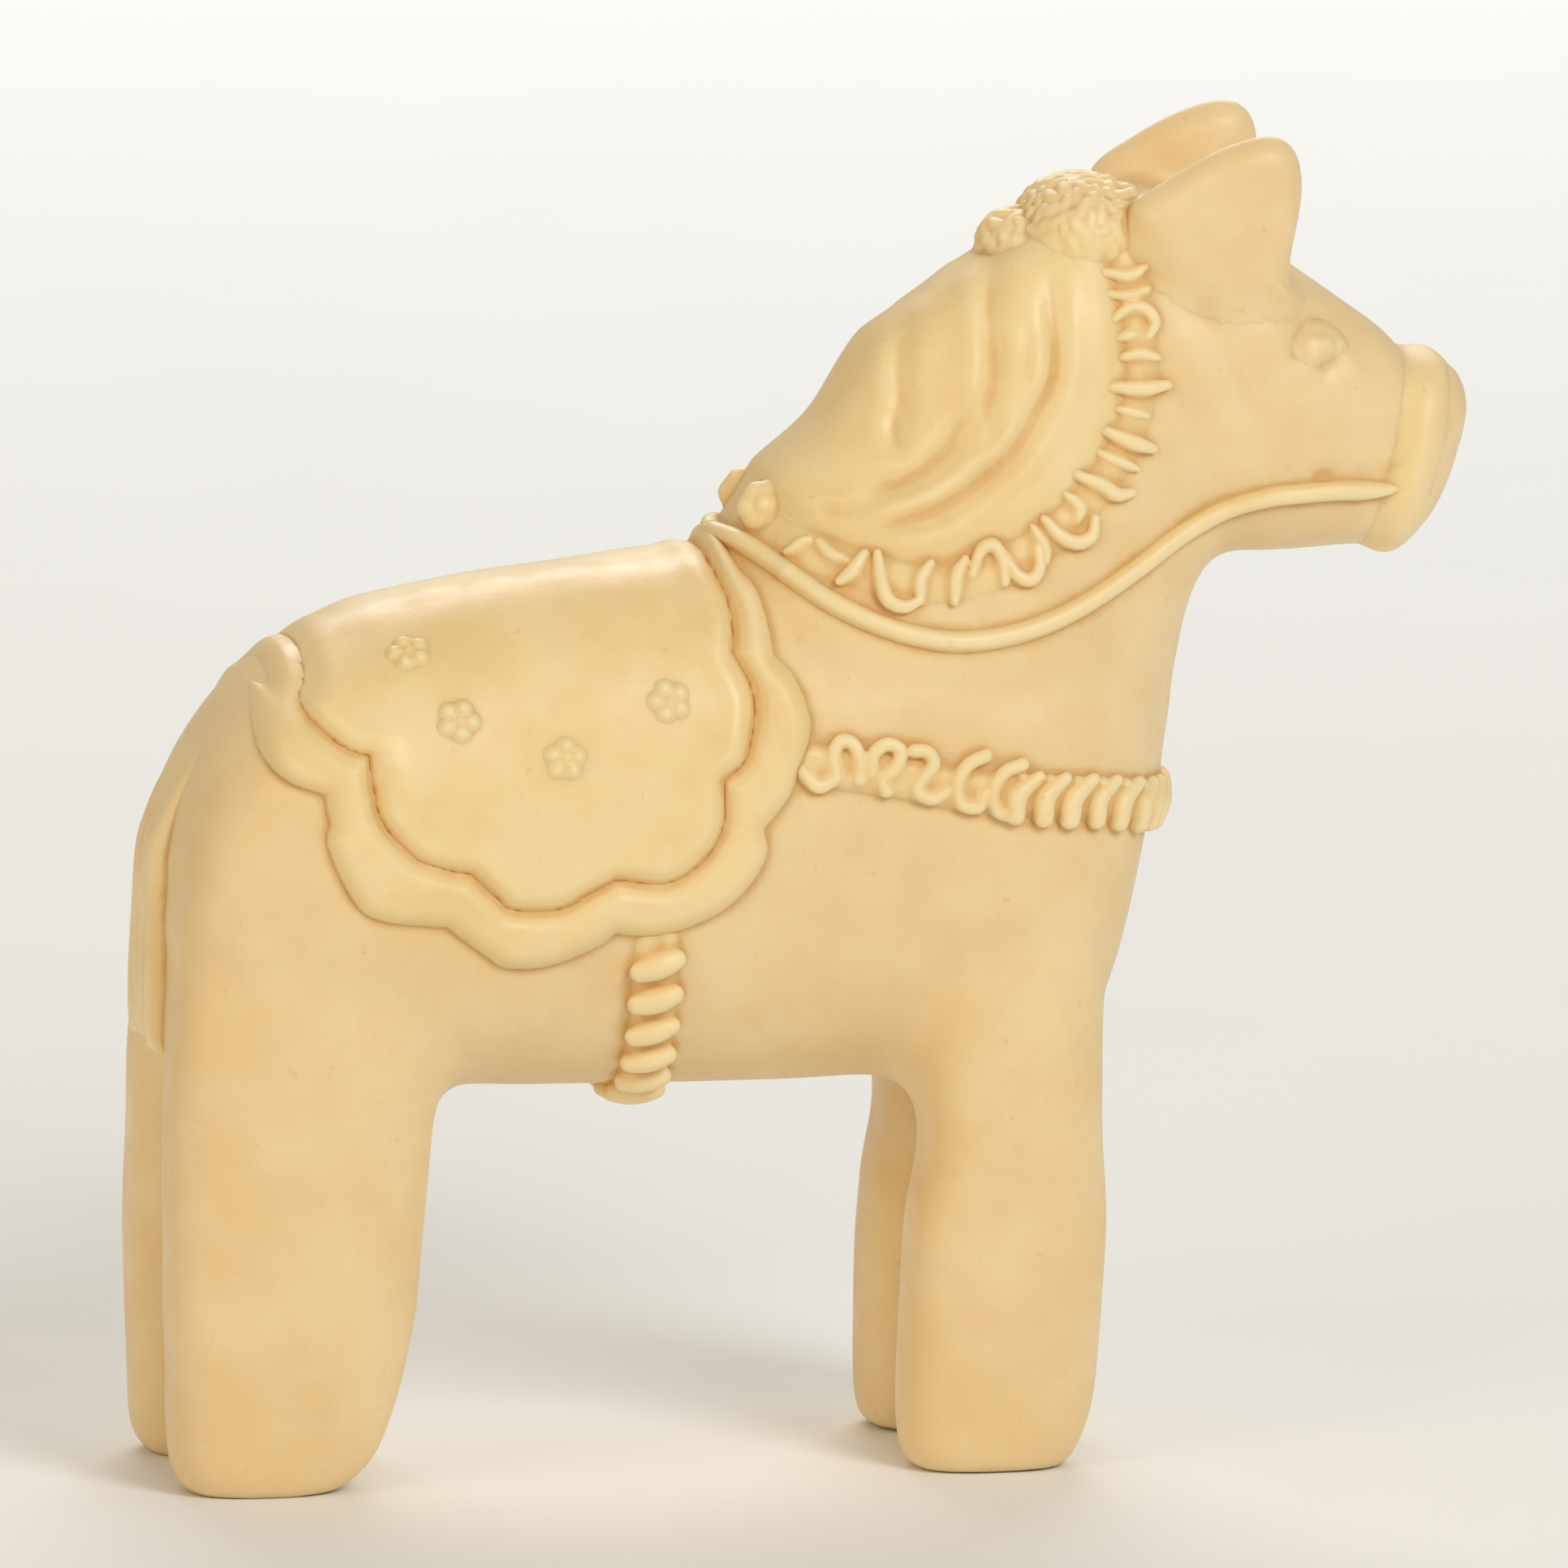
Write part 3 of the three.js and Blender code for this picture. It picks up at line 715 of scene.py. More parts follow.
GROOVE_HEIGHT = 0.2  # what is left of the cloth at the bottom of the groove inside the border
GROOVE_HALF = 0.34
PANEL_HEIGHT = 0.46
PANEL_LIP = 0.07  # a slight roll along the panel's edge
PANEL_PUFFS = [[-11.4, 20.7], [-9.2, 20.7], [-6.4, 21.5], [-4.6, 22.4], [-3.6, 25.3]]
PANEL_FOLD = [[-15.0, 24.4], [-14.5, 23.2], [-13.5, 22.1], [-12.6, 21.8]]
RUMP_X = -14.5  # behind here the cloth lies lower over the top of the back
BLANKET_FLOWERS = [[-5.45, 26.3], [-9.05, 24.6], [-12.55, 25.85], [-13.9, 27.8]]
PETAL_RING = 0.42  # how far a petal's middle is from the flower's
PETAL_RADIUS = 0.33
PETAL_SUNK = 0.17
BUTTON_RADIUS = 0.18

blanket_block = block_between((-20.0, -7.7, 16.6), (0.4, 7.7, 31.6), BROAD_STEP)
blanket_depth = side_depth(blanket_block, joined(BLANKET_EDGE))
panel_depth = side_depth(blanket_block, joined(PANEL_EDGE))


def rounded_rise(depth, width):
    """From 0 at an edge to 1 over the width, steep at first, as a roll of cloth."""
    t = np.clip(depth / width, 0, 1)
    return (1 - (1 - t) ** 2.0) ** 0.7


def groove_share(gap):
    """1 at the middle of the groove between the border and the panel, and 0 away from it."""
    return np.exp(-((gap / GROOVE_HALF) ** 2))


def rump_share(block):
    """How much of the cloth's height is left where it passes over the top of the rump."""
    low = ease((RUMP_X - block.x) / 2.5) * (1 - ease((np.abs(block.y) - 2.5) / 3))
    return 1 - 0.6 * low


def blanket_border():
    block = blanket_block
    roll = rounded_rise(blanket_depth, RIM_ROUNDING)
    groove = groove_share(panel_depth)
    height = RIM_HEIGHT * roll * (1 - groove) + GROOVE_HEIGHT * groove
    height = height * (1 + 0.14 * lumps(block.axes, 1.7, 11)) * rump_share(block)
    height = np.where((blanket_depth > 0) & (panel_depth < 0.05), height, 0)
    return cast("blanket_border", block, block.body - height, "relief_resin")


def saddle_blanket():
    block = blanket_block
    groove = groove_share(panel_depth)
    lip = PANEL_LIP * np.exp(-(((panel_depth - 0.7) / 0.4) ** 2))
    height = PANEL_HEIGHT * (1 - groove) + GROOVE_HEIGHT * groove + lip
    for x, z in PANEL_PUFFS:
        gap = np.hypot(block.x - x, block.z - z)
        height = height + 0.09 * np.exp(-((gap / 0.8) ** 2)) * (1 - groove)
    fold = side_distance(block, smooth_path(PANEL_FOLD))
    height = height - 0.06 * np.exp(-((fold / 0.3) ** 2))
    height = height * (1 + 0.12 * lumps(block.axes, 2.4, 12)) * rump_share(block)
    height = np.where(panel_depth > 0, height, 0)
    return cast("saddle_blanket", block, block.body - height, "relief_resin")


border_field = blanket_border()
panel_field = saddle_blanket()


def ring_of_ways(axis, count, start=0.0):
    """That many directions spread evenly round an axis, from a start in steps of the spread."""
    first = np.cross(axis, [0, 0, 1.0])
    first /= np.linalg.norm(first)
    second = np.cross(first, axis)
    for i in range(count):
        turn = 2 * np.pi * (i + start) / count
        yield first * math.cos(turn) + second * math.sin(turn)


def blanket_flower(label, index, place):
    """A small low rosette: a button in a ring of rounded petals."""
    side = SIDES[label]
    centre = flank([place], side)[0]
    block = block_round([centre], 2.0, SMALL_STEP)
    under = block.body_with(panel_field)
    out = body.outwards(centre[None])[0]
    heart = centre + out * (PANEL_HEIGHT + 0.02)
    petals = block.empty()
    for way in ring_of_ways(out, 5, 0.3 * index):
        petals = ball(block, heart + way * PETAL_RING - out * PETAL_SUNK, PETAL_RADIUS, petals)
    button = ball(block, heart - out * 0.02, BUTTON_RADIUS)
    flower = melt(petals, button, 0.14)
    raised = melt(under, flower, 0.24)
    cast(f"blanket_flower_{label}_{index + 1}", block, raised, "relief_resin", under)


for label in SIDES:
    for index, place in enumerate(BLANKET_FLOWERS):
        blanket_flower(label, index, place)

# ---- Mane ----

MANE_OUTLINE = [
    [7.9, 45.0], [9.6, 43.0], [10.3, 41.2], [10.75, 39.3], [10.95, 37.6], [10.85, 35.8],
    [10.2, 34.2], [9.0, 32.7], [7.3, 31.4], [5.3, 30.6], [3.3, 30.35], [1.5, 30.75], [0.0, 31.35],
    [-1.2, 31.95], [-2.6, 33.2], [-2.6, 36.0], [0.0, 42.0],
]
# The hollows between the locks of the mane: a side view's line, half a width and a depth.
MANE_LOCKS = [
    ([[8.05, 40.2], [8.05, 38.6], [8.05, 37.4], [7.9, 36.5], [7.35, 35.5], [6.8, 34.6],
      [6.2, 33.9], [5.4, 33.3], [4.6, 32.75], [3.6, 32.3], [2.2, 31.95], [0.6, 31.9]], 0.32, 0.24),
    ([[6.4, 40.8], [6.15, 39.4], [6.0, 38.3], [6.0, 37.2], [5.9, 36.2], [5.4, 34.9]], 0.36, 0.2),
    ([[3.7, 38.6], [3.2, 37.6], [3.05, 36.7], [3.0, 35.8], [2.75, 34.9], [2.9, 33.9]], 0.34, 0.2),
    ([[5.1, 35.6], [4.4, 34.4], [3.6, 33.7], [2.6, 33.2], [1.3, 33.0]], 0.34, 0.22),
    ([[0.0, 32.3], [0.9, 32.3], [1.6, 32.55], [2.3, 32.75]], 0.26, 0.14),
    ([[7.2, 38.4], [7.1, 37.0], [6.7, 35.8], [5.9, 34.8], [4.9, 34.0]], 0.28, 0.08),
]
MANE_HEIGHT = 0.34
CREST_SHARE = 0.35  # how much of the mane's height is left along the crest
RIDGE_SHARE = 0.4  # the height of the ridges beside a hollow, as a share of its depth


def hollow(block, line, width, depth):
    """A groove along a side view's line, shallow at its ends, with a low ridge on either side."""
    place, gap = along_and_away(block, evenly(smooth_path(line, 5), 30))
    strength = np.minimum(1, 1.3 * np.clip(np.sin(np.pi * place), 0, 1) ** 0.7)
    groove = np.exp(-((gap / width) ** 2))
    ridge = np.exp(-(((gap - 2.1 * width) / (1.1 * width)) ** 2))
    return depth * strength * (groove - RIDGE_SHARE * ridge)


def mane():
    block = block_between((-3.0, -6.0, 29.6), (11.4, 6.0, 43.6), BROAD_STEP)
    depth = side_depth(block, closed_path(MANE_OUTLINE, 5))
    beside = ease((np.abs(block.y) - 0.5) / 2.0)
    height = MANE_HEIGHT * ease(depth / 1.3) * (CREST_SHARE + (1 - CREST_SHARE) * beside)
    marks = sum(hollow(block, line, width, deep) for line, width, deep in MANE_LOCKS)
    height = height - marks * beside * ease(depth / 0.8)
    height = height * (1 + 0.12 * lumps(block.axes, 1.5, 13))
    height = np.where(depth > 0, np.maximum(height, 0.05 * ease(depth / 0.2)), 0)
    return cast("mane", block, block.body - height, "relief_resin")


mane_field = mane()

# Each curl of the fringe, from the forelock down to the withers: a side view's line, and how
# thick the curl is compared with the thickest.
FRINGE_CURLS = [
    ([[9.9, 40.0], [10.7, 39.85], [11.3, 40.15]], 0.8),
    ([[10.0, 39.3], [10.7, 39.2], [11.35, 39.4]], 0.7),
    ([[10.2, 38.5], [10.7, 38.85], [11.25, 38.75], [11.55, 38.3], [11.3, 37.85]], 0.85),
    ([[10.3, 37.85], [10.85, 37.95]], 0.7),
    ([[10.4, 37.2], [11.0, 37.3], [11.6, 37.15]], 0.85),
    ([[10.0, 36.25], [11.0, 36.15], [11.9, 36.25]], 1.05),
    ([[10.2, 35.5], [11.2, 35.25]], 0.7),
    ([[9.75, 34.8], [10.6, 34.4], [11.35, 34.15]], 1.05),
    ([[9.5, 34.1], [10.2, 33.75], [10.8, 33.5]], 0.75),
    ([[8.7, 33.4], [9.5, 33.05], [10.05, 32.7], [10.6, 32.75]], 1.0),
    ([[8.3, 32.75], [8.75, 32.35], [8.65, 31.95]], 0.8),
    ([[7.5, 32.0], [8.0, 31.45], [8.6, 31.2], [9.1, 31.4], [9.25, 31.95]], 1.0),
    ([[7.1, 31.75], [7.45, 31.1], [7.5, 30.6]], 0.8),
    ([[6.1, 30.9], [6.4, 30.3], [6.9, 30.05], [7.25, 30.45], [7.2, 31.1]], 0.95),
    ([[4.95, 30.3], [5.25, 31.0], [5.7, 31.2], [6.0, 30.75], [6.05, 30.0]], 0.95),
    ([[4.3, 29.4], [4.4, 30.2], [4.75, 30.8]], 0.95),
    ([[3.15, 29.45], [3.2, 30.15], [3.6, 30.7]], 0.9),
    ([[1.85, 31.0], [1.9, 30.1], [2.1, 29.5], [2.65, 29.3], [3.1, 29.5]], 1.0),
    ([[0.55, 30.1], [1.0, 30.45], [1.45, 31.0]], 1.0),
    ([[0.0, 31.35], [0.35, 30.95], [0.8, 30.8]], 0.85),
    ([[-1.0, 30.95], [-0.3, 31.4]], 0.8),
]
FRINGE_LINE = [
    [10.5, 40.6], [10.85, 38.8], [10.95, 36.8], [10.55, 34.9], [9.5, 33.15], [8.1, 31.8],
    [6.5, 30.75], [5.0, 30.2], [3.2, 30.05], [1.4, 30.5], [-0.6, 31.2],
]
FRINGE_HALF = 1.0
FRINGE_PAD = 0.14  # how much the neck swells under the curls
CURL_RADIUS = 0.29
CURL_LIFT = 0.2


def mane_fringe(label):
    side = SIDES[label]
    y = sorted([side * 1.5, side * 6.8])
    block = block_between((-2.4, y[0], 28.0), (13.0, y[1], 41.8), CORD_STEP)
    under = block.body_with(mane_field)
    edge = FRINGE_HALF - side_distance(block, smooth_path(FRINGE_LINE, 5))
    pad = block.body - FRINGE_PAD * ease(edge / FRINGE_HALF)
    curls = block.empty()
    for line, thickness in FRINGE_CURLS:
        path = flank(smooth_path(line, 4), side, CURL_LIFT * thickness)
        share = np.linspace(0, 1, len(path))
        radius = CURL_RADIUS * thickness * (0.66 + 0.34 * np.sin(np.pi * share))
        curls = tube(block, path, radius, curls)
    raised = melt(np.minimum(pad, under), curls, TRIM_MELT)
    cast(f"mane_fringe_{label}", block, raised, "relief_resin", under)


for label in SIDES:
    mane_fringe(label)


def out_of_sight(point, height):
    """Whether a point of a tuft lies well inside the neck, or faces down."""
    return height < -0.45 or body.at(point[None])[0] < -0.5


def tuft(node, centre, halves, count, bead, seed):
    """A cushion of small soft curls, spread evenly over a rounded swelling."""
    centre = np.array(centre)
    halves = np.array(halves)
    block = block_round([centre - halves, centre + halves], 0.9, CORD_STEP)
    under = block.body_with(mane_field)
    spread = np.sqrt(
        ((block.x - centre[0]) / halves[0]) ** 2
        + ((block.y - centre[1]) / halves[1]) ** 2
        + ((block.z - centre[2]) / halves[2]) ** 2
    )
    swelling = melt(under, (spread - 1) * halves.min(), 0.5)
    skin = Field(block.axes, swelling.astype(np.float32))
    random = np.random.default_rng(seed)
    beads = block.empty()
    for i in range(count):
        height = 1 - (2 * i + 1) / count
        turn = i * math.pi * (3 - math.sqrt(5))
        level = math.sqrt(1 - height**2)
        way = np.array([math.cos(turn) * level, math.sin(turn) * level, height])
        at = centre + way * halves
        if out_of_sight(at, height):
            continue
        at = at - skin.outwards(at[None])[0] * skin.at(at[None])[0]
        hook = np.cross(way, random.normal(size=3))
        hook *= 0.26 / np.linalg.norm(hook)
        path = smooth_path([at - hook, at + way * 0.05, at + hook], 2)
        beads = tube(block, path - way * 0.12, bead * random.uniform(0.85, 1.1), beads)
    raised = melt(swelling, beads, TRIM_MELT)
    cast(node, block, raised, "relief_resin", under)


tuft("forelock", (9.6, 0.0, 41.25), (2.0, 3.0, 1.65), 190, 0.25, 21)
tuft("crest_curl", (7.5, 0.0, 40.8), (1.2, 1.5, 0.95), 60, 0.25, 22)

# ---- Head: ears, eyes and noseband ----

EAR_OUTLINE = [
    [16.0, 39.4], [16.45, 41.3], [16.7, 43.0], [16.4, 44.2], [15.5, 44.7], [14.1, 44.35],
    [12.6, 43.65], [11.3, 42.9], [10.9, 42.1], [11.6, 40.9], [13.8, 39.4],
]
EAR_OFFSET = 2.85
EAR_HALF = 0.9
EAR_ROUNDING = 0.8
EAR_SHIFT = {"right": (0.0, -0.28), "left": (-0.35, 0.22)}  # the two are not quite level
EAR_MELT = 1.3


def ear(label):
    side = SIDES[label]
    y = sorted([side * 0.4, side * 5.4])
    block = block_between((9.4, y[0], 37.4), (18.1, y[1], 46.0), BROAD_STEP)
    outline = closed_path(EAR_OUTLINE, 6) + np.array(EAR_SHIFT[label])
    depth = side_depth(block, outline)
    thick = EAR_HALF * (0.72 + 0.28 * ease(depth / 2.2))
    qx = EAR_ROUNDING - depth
    qy = np.abs(block.y - side * EAR_OFFSET) - thick + EAR_ROUNDING
    corner = np.hypot(np.maximum(qx, 0), np.maximum(qy, 0))
    blade = np.minimum(np.maximum(qx, qy), 0) + corner - EAR_ROUNDING
    raised = melt(block.body, blade.astype(np.float32), EAR_MELT)
    proud = block.body - raised
    raised = raised + 0.06 * ease(proud / 0.5) * lumps(block.axes, 2.0, 15)
    cast(f"ear_{label}", block, raised, "cream_resin", tuck=FINE_TUCK)


EYE_PLACE = [17.1, 37.35]


def eye(label):
    side = SIDES[label]
    centre = flank([EYE_PLACE], side)[0]
    block = block_round([centre], 1.6, SMALL_STEP)
    lid = smooth_path([[16.55, 37.2], [16.95, 37.75], [17.45, 37.7], [17.85, 37.3]], 4)
    line = flank([[16.95, 37.25], [17.3, 37.3]], side, -0.18)
    bulge = tube(block, line, [0.46, 0.42])
    bulge = melt(bulge, tube(block, flank(lid, side, -0.1), 0.18), 0.16)
    raised = melt(block.body, bulge, 0.4)
    cast(f"eye_{label}", block, raised, "cream_resin", tuck=FINE_TUCK)


for label in SIDES:
    ear(label)
    eye(label)

NOSEBAND_LINE = [[19.6, 28.3], [21.75, 38.2]]
NOSEBAND_HALF = 1.15
NOSEBAND_HEIGHT = 0.36
NOSEBAND_RIM = [[22.0, 36.1], [21.9, 34.8], [21.6, 33.2], [21.2, 32.2]]  # a line round its front


def noseband():
    block = block_between((18.0, -3.9, 29.0), (23.3, 3.9, 37.8), 0.09)
    gap = side_distance(block, np.array(NOSEBAND_LINE)) / NOSEBAND_HALF
    height = NOSEBAND_HEIGHT * np.clip(1 - gap**2, 0, 1) ** 2.5
    rim = side_distance(block, smooth_path(NOSEBAND_RIM)) / 0.16
    height = height - 0.13 * np.exp(-(rim**2))
    height = height * (1 + 0.15 * lumps(block.axes, 1.3, 14))
    return cast("noseband", block, block.body - height, "relief_resin", tuck=FINE_TUCK)


noseband_field = noseband()

# ---- Reins, and the knobs that they pass behind ----

REIN_LINE = [
    [20.4, 32.45], [19.2, 32.35], [18.1, 32.42], [16.6, 32.4], [15.0, 32.2], [12.95, 31.5],
    [10.8, 30.2], [8.6, 29.0], [6.5, 28.3], [4.4, 28.1], [2.4, 28.5], [0.5, 29.3], [-1.0, 30.3],
]
REIN_END = [[-2.25, 2.2, 31.15], [-2.95, 0.9, 31.45], [-3.15, 0.03, 31.5]]
REIN_RADIUS = 0.36
REIN_LIFT = 0.06
REIN_MELT = 0.22


def rein(label):
    side = SIDES[label]
    route = flank(smooth_path(REIN_LINE, 4), side, REIN_LIFT)
    over = onto_body([[x, side * y, z] for x, y, z in REIN_END], REIN_LIFT)
    path = evenly(smooth_path(np.vstack([route[::3], route[-1:], over]), 6), 90)
    block = block_round(path, 0.9, CORD_STEP)
    under = block.body_with(mane_field, noseband_field)
    taper = 0.45 + 0.55 * ease(np.linspace(0, 14, len(path)))
    cord = tube(block, path, REIN_RADIUS * taper)
    cord = np.maximum(cord, -side * block.y)
    raised = melt(block.body, cord, REIN_MELT)
    cast(f"rein_{label}", block, raised, "relief_resin", under)


KNOB_PLACE = [-1.35, 1.55, 32.15]
KNOB_RADIUS = 0.82


def withers_knob(label):
    side = SIDES[label]
    x, y, z = KNOB_PLACE
    centre = np.array([x, side * y, z])
    block = block_round([centre], 1.9, 0.07)
    under = block.body_with(mane_field)
    knob = ball(block, centre, KNOB_RADIUS)
    out = np.array([-0.2, side * 0.9, 0.35])
    out /= np.linalg.norm(out)
    for way in ring_of_ways(out, 6):
        petal = ball(block, centre + out * 0.25 + way * 0.54, 0.42)
        knob = melt(knob, petal, 0.26)
    knob = melt(knob, ball(block, centre + out * 0.62, 0.34), 0.14)
    knob = np.maximum(knob, 0.02 - side * block.y)
    raised = melt(under, knob, TRIM_MELT)
    cast(f"withers_knob_{label}", block, raised, "relief_resin", under)


for label in SIDES:
    rein(label)
    withers_knob(label)

# ---- Breast strap and girth: bands of slanted strands ----


def frames_along(path, places):
    """Points at distances along a line on the body, with the ways along and across it."""
    centres = points_at(path, places)
    ways = points_at(path, places + 0.2) - points_at(path, places - 0.2)
    ways /= np.linalg.norm(ways, axis=1, keepdims=True)
    across = np.cross(body.outwards(centres), ways)
    return centres, ways, across


def strands(block, path, places, half, slant, arch, radii, into, seed):
    """Short rounded bars laid across a line on the body, turned from square by the slant.
    The radii are those at a bar's two ends, and the arch is how far it bows along the line."""
    random = np.random.default_rng(seed)
    for centre, way, across in zip(*frames_along(path, places)):
        lean = across * half + way * half * slant * random.uniform(0.85, 1.15)
        bend = way * arch * np.sign(slant)
        thickness = random.uniform(0.92, 1.06)
        bar = [centre - lean + bend * 0.4, centre - bend, centre + lean + bend]
        bar = smooth_path(onto_body(bar, min(radii) * 0.62), 4)
        share = np.linspace(0, 1, len(bar))
        radius = thickness * (radii[0] + (radii[1] - radii[0]) * share)
        into = tube(block, bar, radius * (0.75 + 0.25 * np.sin(np.pi * share)), into)
        if arch > 0:
            knot = centre + lean * 0.8 - bend * 1.4
            into = ball(block, onto_body([knot], 0.1)[0], SECOND_PLY, into)
    return into


STRAP_LINE = [
    [-0.8, 24.25], [-0.35, 24.15], [2.3, 23.7], [4.3, 23.25], [7.4, 22.85], [9.6, 22.6],
    [11.6, 22.2], [14.5, 21.7],
]
STRAP_HEART = (4.0, 0.0, 23.0)  # inside the chest: the strap's line is looked for from here
STRAP_HALF = 0.85
STRAP_BAND = 0.26  # the height of the band under the strands
STRAND_PITCH = 0.96
STRAND_RADII = (0.5, 0.33)  # at the bottom and the top of the strap
STRAND_ARCH = 0.2
SECOND_PLY = 0.27  # the radius of the beads where the cord's second ply shows between the strands
STRAND_START = 6.9  # the x where the open curls at the strap's end give way to strands
# The open curls at the blanket's end of the strap, as a side view's lines.
STRAP_CURLS = [
    [[-1.0, 24.0], [-0.5, 23.5], [0.05, 23.75]],
    [[0.1, 23.85], [0.05, 24.6], [0.35, 25.0], [0.75, 24.8], [0.95, 24.2], [0.9, 23.7]],
    [[1.3, 23.9], [1.35, 24.5], [1.85, 24.85], [2.3, 24.6], [2.1, 24.05], [1.65, 23.7], [1.8, 23.3]],
    [[2.75, 24.6], [3.2, 24.55], [3.4, 24.15], [3.05, 23.7], [2.85, 23.3], [3.3, 23.0], [3.8, 23.2]],
    [[5.2, 24.35], [4.55, 24.05], [4.2, 23.4], [4.35, 22.8], [4.9, 22.65], [5.15, 23.1]],
    [[6.45, 24.0], [5.8, 23.75], [5.4, 23.1], [5.6, 22.5], [6.1, 22.35], [6.35, 22.8]],
]
STRAP_CURL_RADIUS = 0.28


def strap_path():
    """The strap's centre line: round the chest from the right side's end to the left's."""
    x, y, z = STRAP_HEART
    start = flank([STRAP_LINE[0]], SIDES["right"])[0]
    widest = abs(math.atan2(start[1] - y, start[0] - x))
    turns = np.linspace(-widest, widest, 161)
    heights = np.full(len(turns), z)
    line_x, line_z = smooth_path(STRAP_LINE, 6).T
    for _ in range(3):
        level = np.stack([np.cos(turns), np.sin(turns), 0 * turns], 1)
        points = []
        for way, height in zip(level, heights):
            points.append(ray_onto_body(np.array([x, y, height]), way[None])[0])
        heights = np.interp([p[0] for p in points], line_x, line_z)
    return np.array(points)


def breast_strap():
    path = strap_path()
    block = block_round(path, 1.6, CORD_STEP)
    gap = tube(block, path, 0.0)
    band = block.body - STRAP_BAND * ease((STRAP_HALF - gap) / 0.5)
    along = distances(path)
    first_half = path[:, 1] < 0
    start = float(np.interp(STRAND_START, path[first_half, 0], along[first_half]))
    middle = along[-1] / 2
    count = 2 * round((middle - start) / STRAND_PITCH) + 1
    steps = np.arange(count) - (count - 1) / 2
    curls = block.empty()
    for side in SIDES.values():
        for line in STRAP_CURLS:
            curl = flank(smooth_path(line, 4), side, 0.18)
            curls = tube(block, curl, STRAP_CURL_RADIUS, curls)
        places = middle + steps[steps * side >= 0] * STRAND_PITCH
        slant = -0.45 * side
        half = STRAP_HALF * 0.8
        curls = strands(
            block, path, places, half, slant, STRAND_ARCH, STRAND_RADII, curls, 31 + side
        )
    raised = melt(band, curls, 0.16)
    under = block.body_with(border_field)
    cast("breast_strap", block, raised, "relief_resin", under)


breast_strap()

GIRTH_X = -5.9
GIRTH_TOP = 18.9
GIRTH_HALF = 0.9
GIRTH_PITCH = 1.22
GIRTH_RADII = (0.5, 0.5)
GIRTH_BAND = 0.24


def girth():
    """A twisted rope from the blanket's edge round under the belly."""
    heart = np.array([GIRTH_X, 0.0, 21.0])
    turns = np.linspace(-1.9, 1.9, 121)
    ways = np.stack([0 * turns, np.sin(turns), -np.cos(turns)], 1)
    path = ray_onto_body(heart, ways)
    path = path[path[:, 2] < GIRTH_TOP]
    block = block_round(path, 1.6, CORD_STEP)
    gap = tube(block, path, 0.0)
    band = block.body - GIRTH_BAND * ease((GIRTH_HALF - gap) / 0.5)
    middle = distances(path)[-1] / 2
    count = math.floor(middle / GIRTH_PITCH)
    places = middle + np.arange(-count, count + 1) * GIRTH_PITCH
    bars = block.empty()
    bars = strands(block, path, places, GIRTH_HALF * 0.66, -0.3, 0.0, GIRTH_RADII, bars, 41)
    raised = melt(band, bars, 0.14)
    under = block.body_with(border_field)
    cast("girth", block, raised, "relief_resin", under)


girth()

# ---- Tail ----

TAIL_HALF = 1.75
TAIL_END = 14.4
TAIL_HEIGHT = 0.6
TAIL_GROOVES = (-0.9, 0.05, 0.95)  # the y of each shallow groove down the tail


def tail():
    block = block_between((-23.6, -2.8, 13.2), (-18.4, 2.8, 28.0), BROAD_STEP)
    half = TAIL_HALF + 0.5 * ease((22 - block.z) / 6)
    side_edge = rounded_rise(half - np.abs(block.y), 0.55)
    low_edge = rounded_rise(block.z - TAIL_END, 0.4)
    root = ease((25.6 - block.z) / 5.5)
    height = TAIL_HEIGHT * side_edge * low_edge * root
    for y in TAIL_GROOVES:
        wander = 0.12 * np.sin(block.z * 0.7 + y)
        height = height - 0.07 * np.exp(-(((block.y - y - wander) / 0.25) ** 2)) * root * side_edge
    height = np.where(block.x < -18.6, height, 0)
    cast("tail", block, block.body - height, "relief_resin")


tail()

# ---- The body's own surface ----

BODY_MESH_STEP = 0.25 * COARSER


def horse_body():
    low = [axis[1] for axis in BODY_AXES]
    high = [axis[-2] for axis in BODY_AXES]
    axes = [np.arange(a, b, BODY_MESH_STEP) for a, b in zip(low, high)]
    points, quads = surface_net(Field(axes, body.on(axes)))
    points, quads = without_crumbs(points, quads)
    points = settled(points, body)
    keep("horse_body", points, quads, None, "cream_resin")


horse_body()

# ---- Painted shade and highlight, with antiquing and wear: how sheltered each point of each surface is ----

# Reaches for the shade marks: the close one for ochre in the creases (real antiquing and painted
# shade), the wide one for painted shade over broad hollows.
CLOSE_REACH = 0.25
WIDE_REACH = 1.3
near_share = filled_share(total, CLOSE_REACH)
wide_share = filled_share(total, WIDE_REACH)


def shade(piece, points, solid):
    """Marks each vertex with how recessed it is, close up and over a wide reach; the paint turns
    these marks into painted shade and highlight as well as antiquing.
    """
    if solid is None:
        close = near_share.at(points)
    else:
        solid.values = np.minimum(solid.values, total.on(solid.axes))
        close = filled_share(solid, CLOSE_REACH).at(points)
    wide = wide_share.at(points)
    for name, value in (("recess", close - 0.5), ("wide_occlusion", wide - 0.5)):
        mark = piece.data.attributes.new(name, "FLOAT", "POINT")
        mark.data.foreach_set("value", value.astype(np.float32))


for piece, points, solid, finish in made:
    shade(piece, points, solid)

# ---- Materials ----


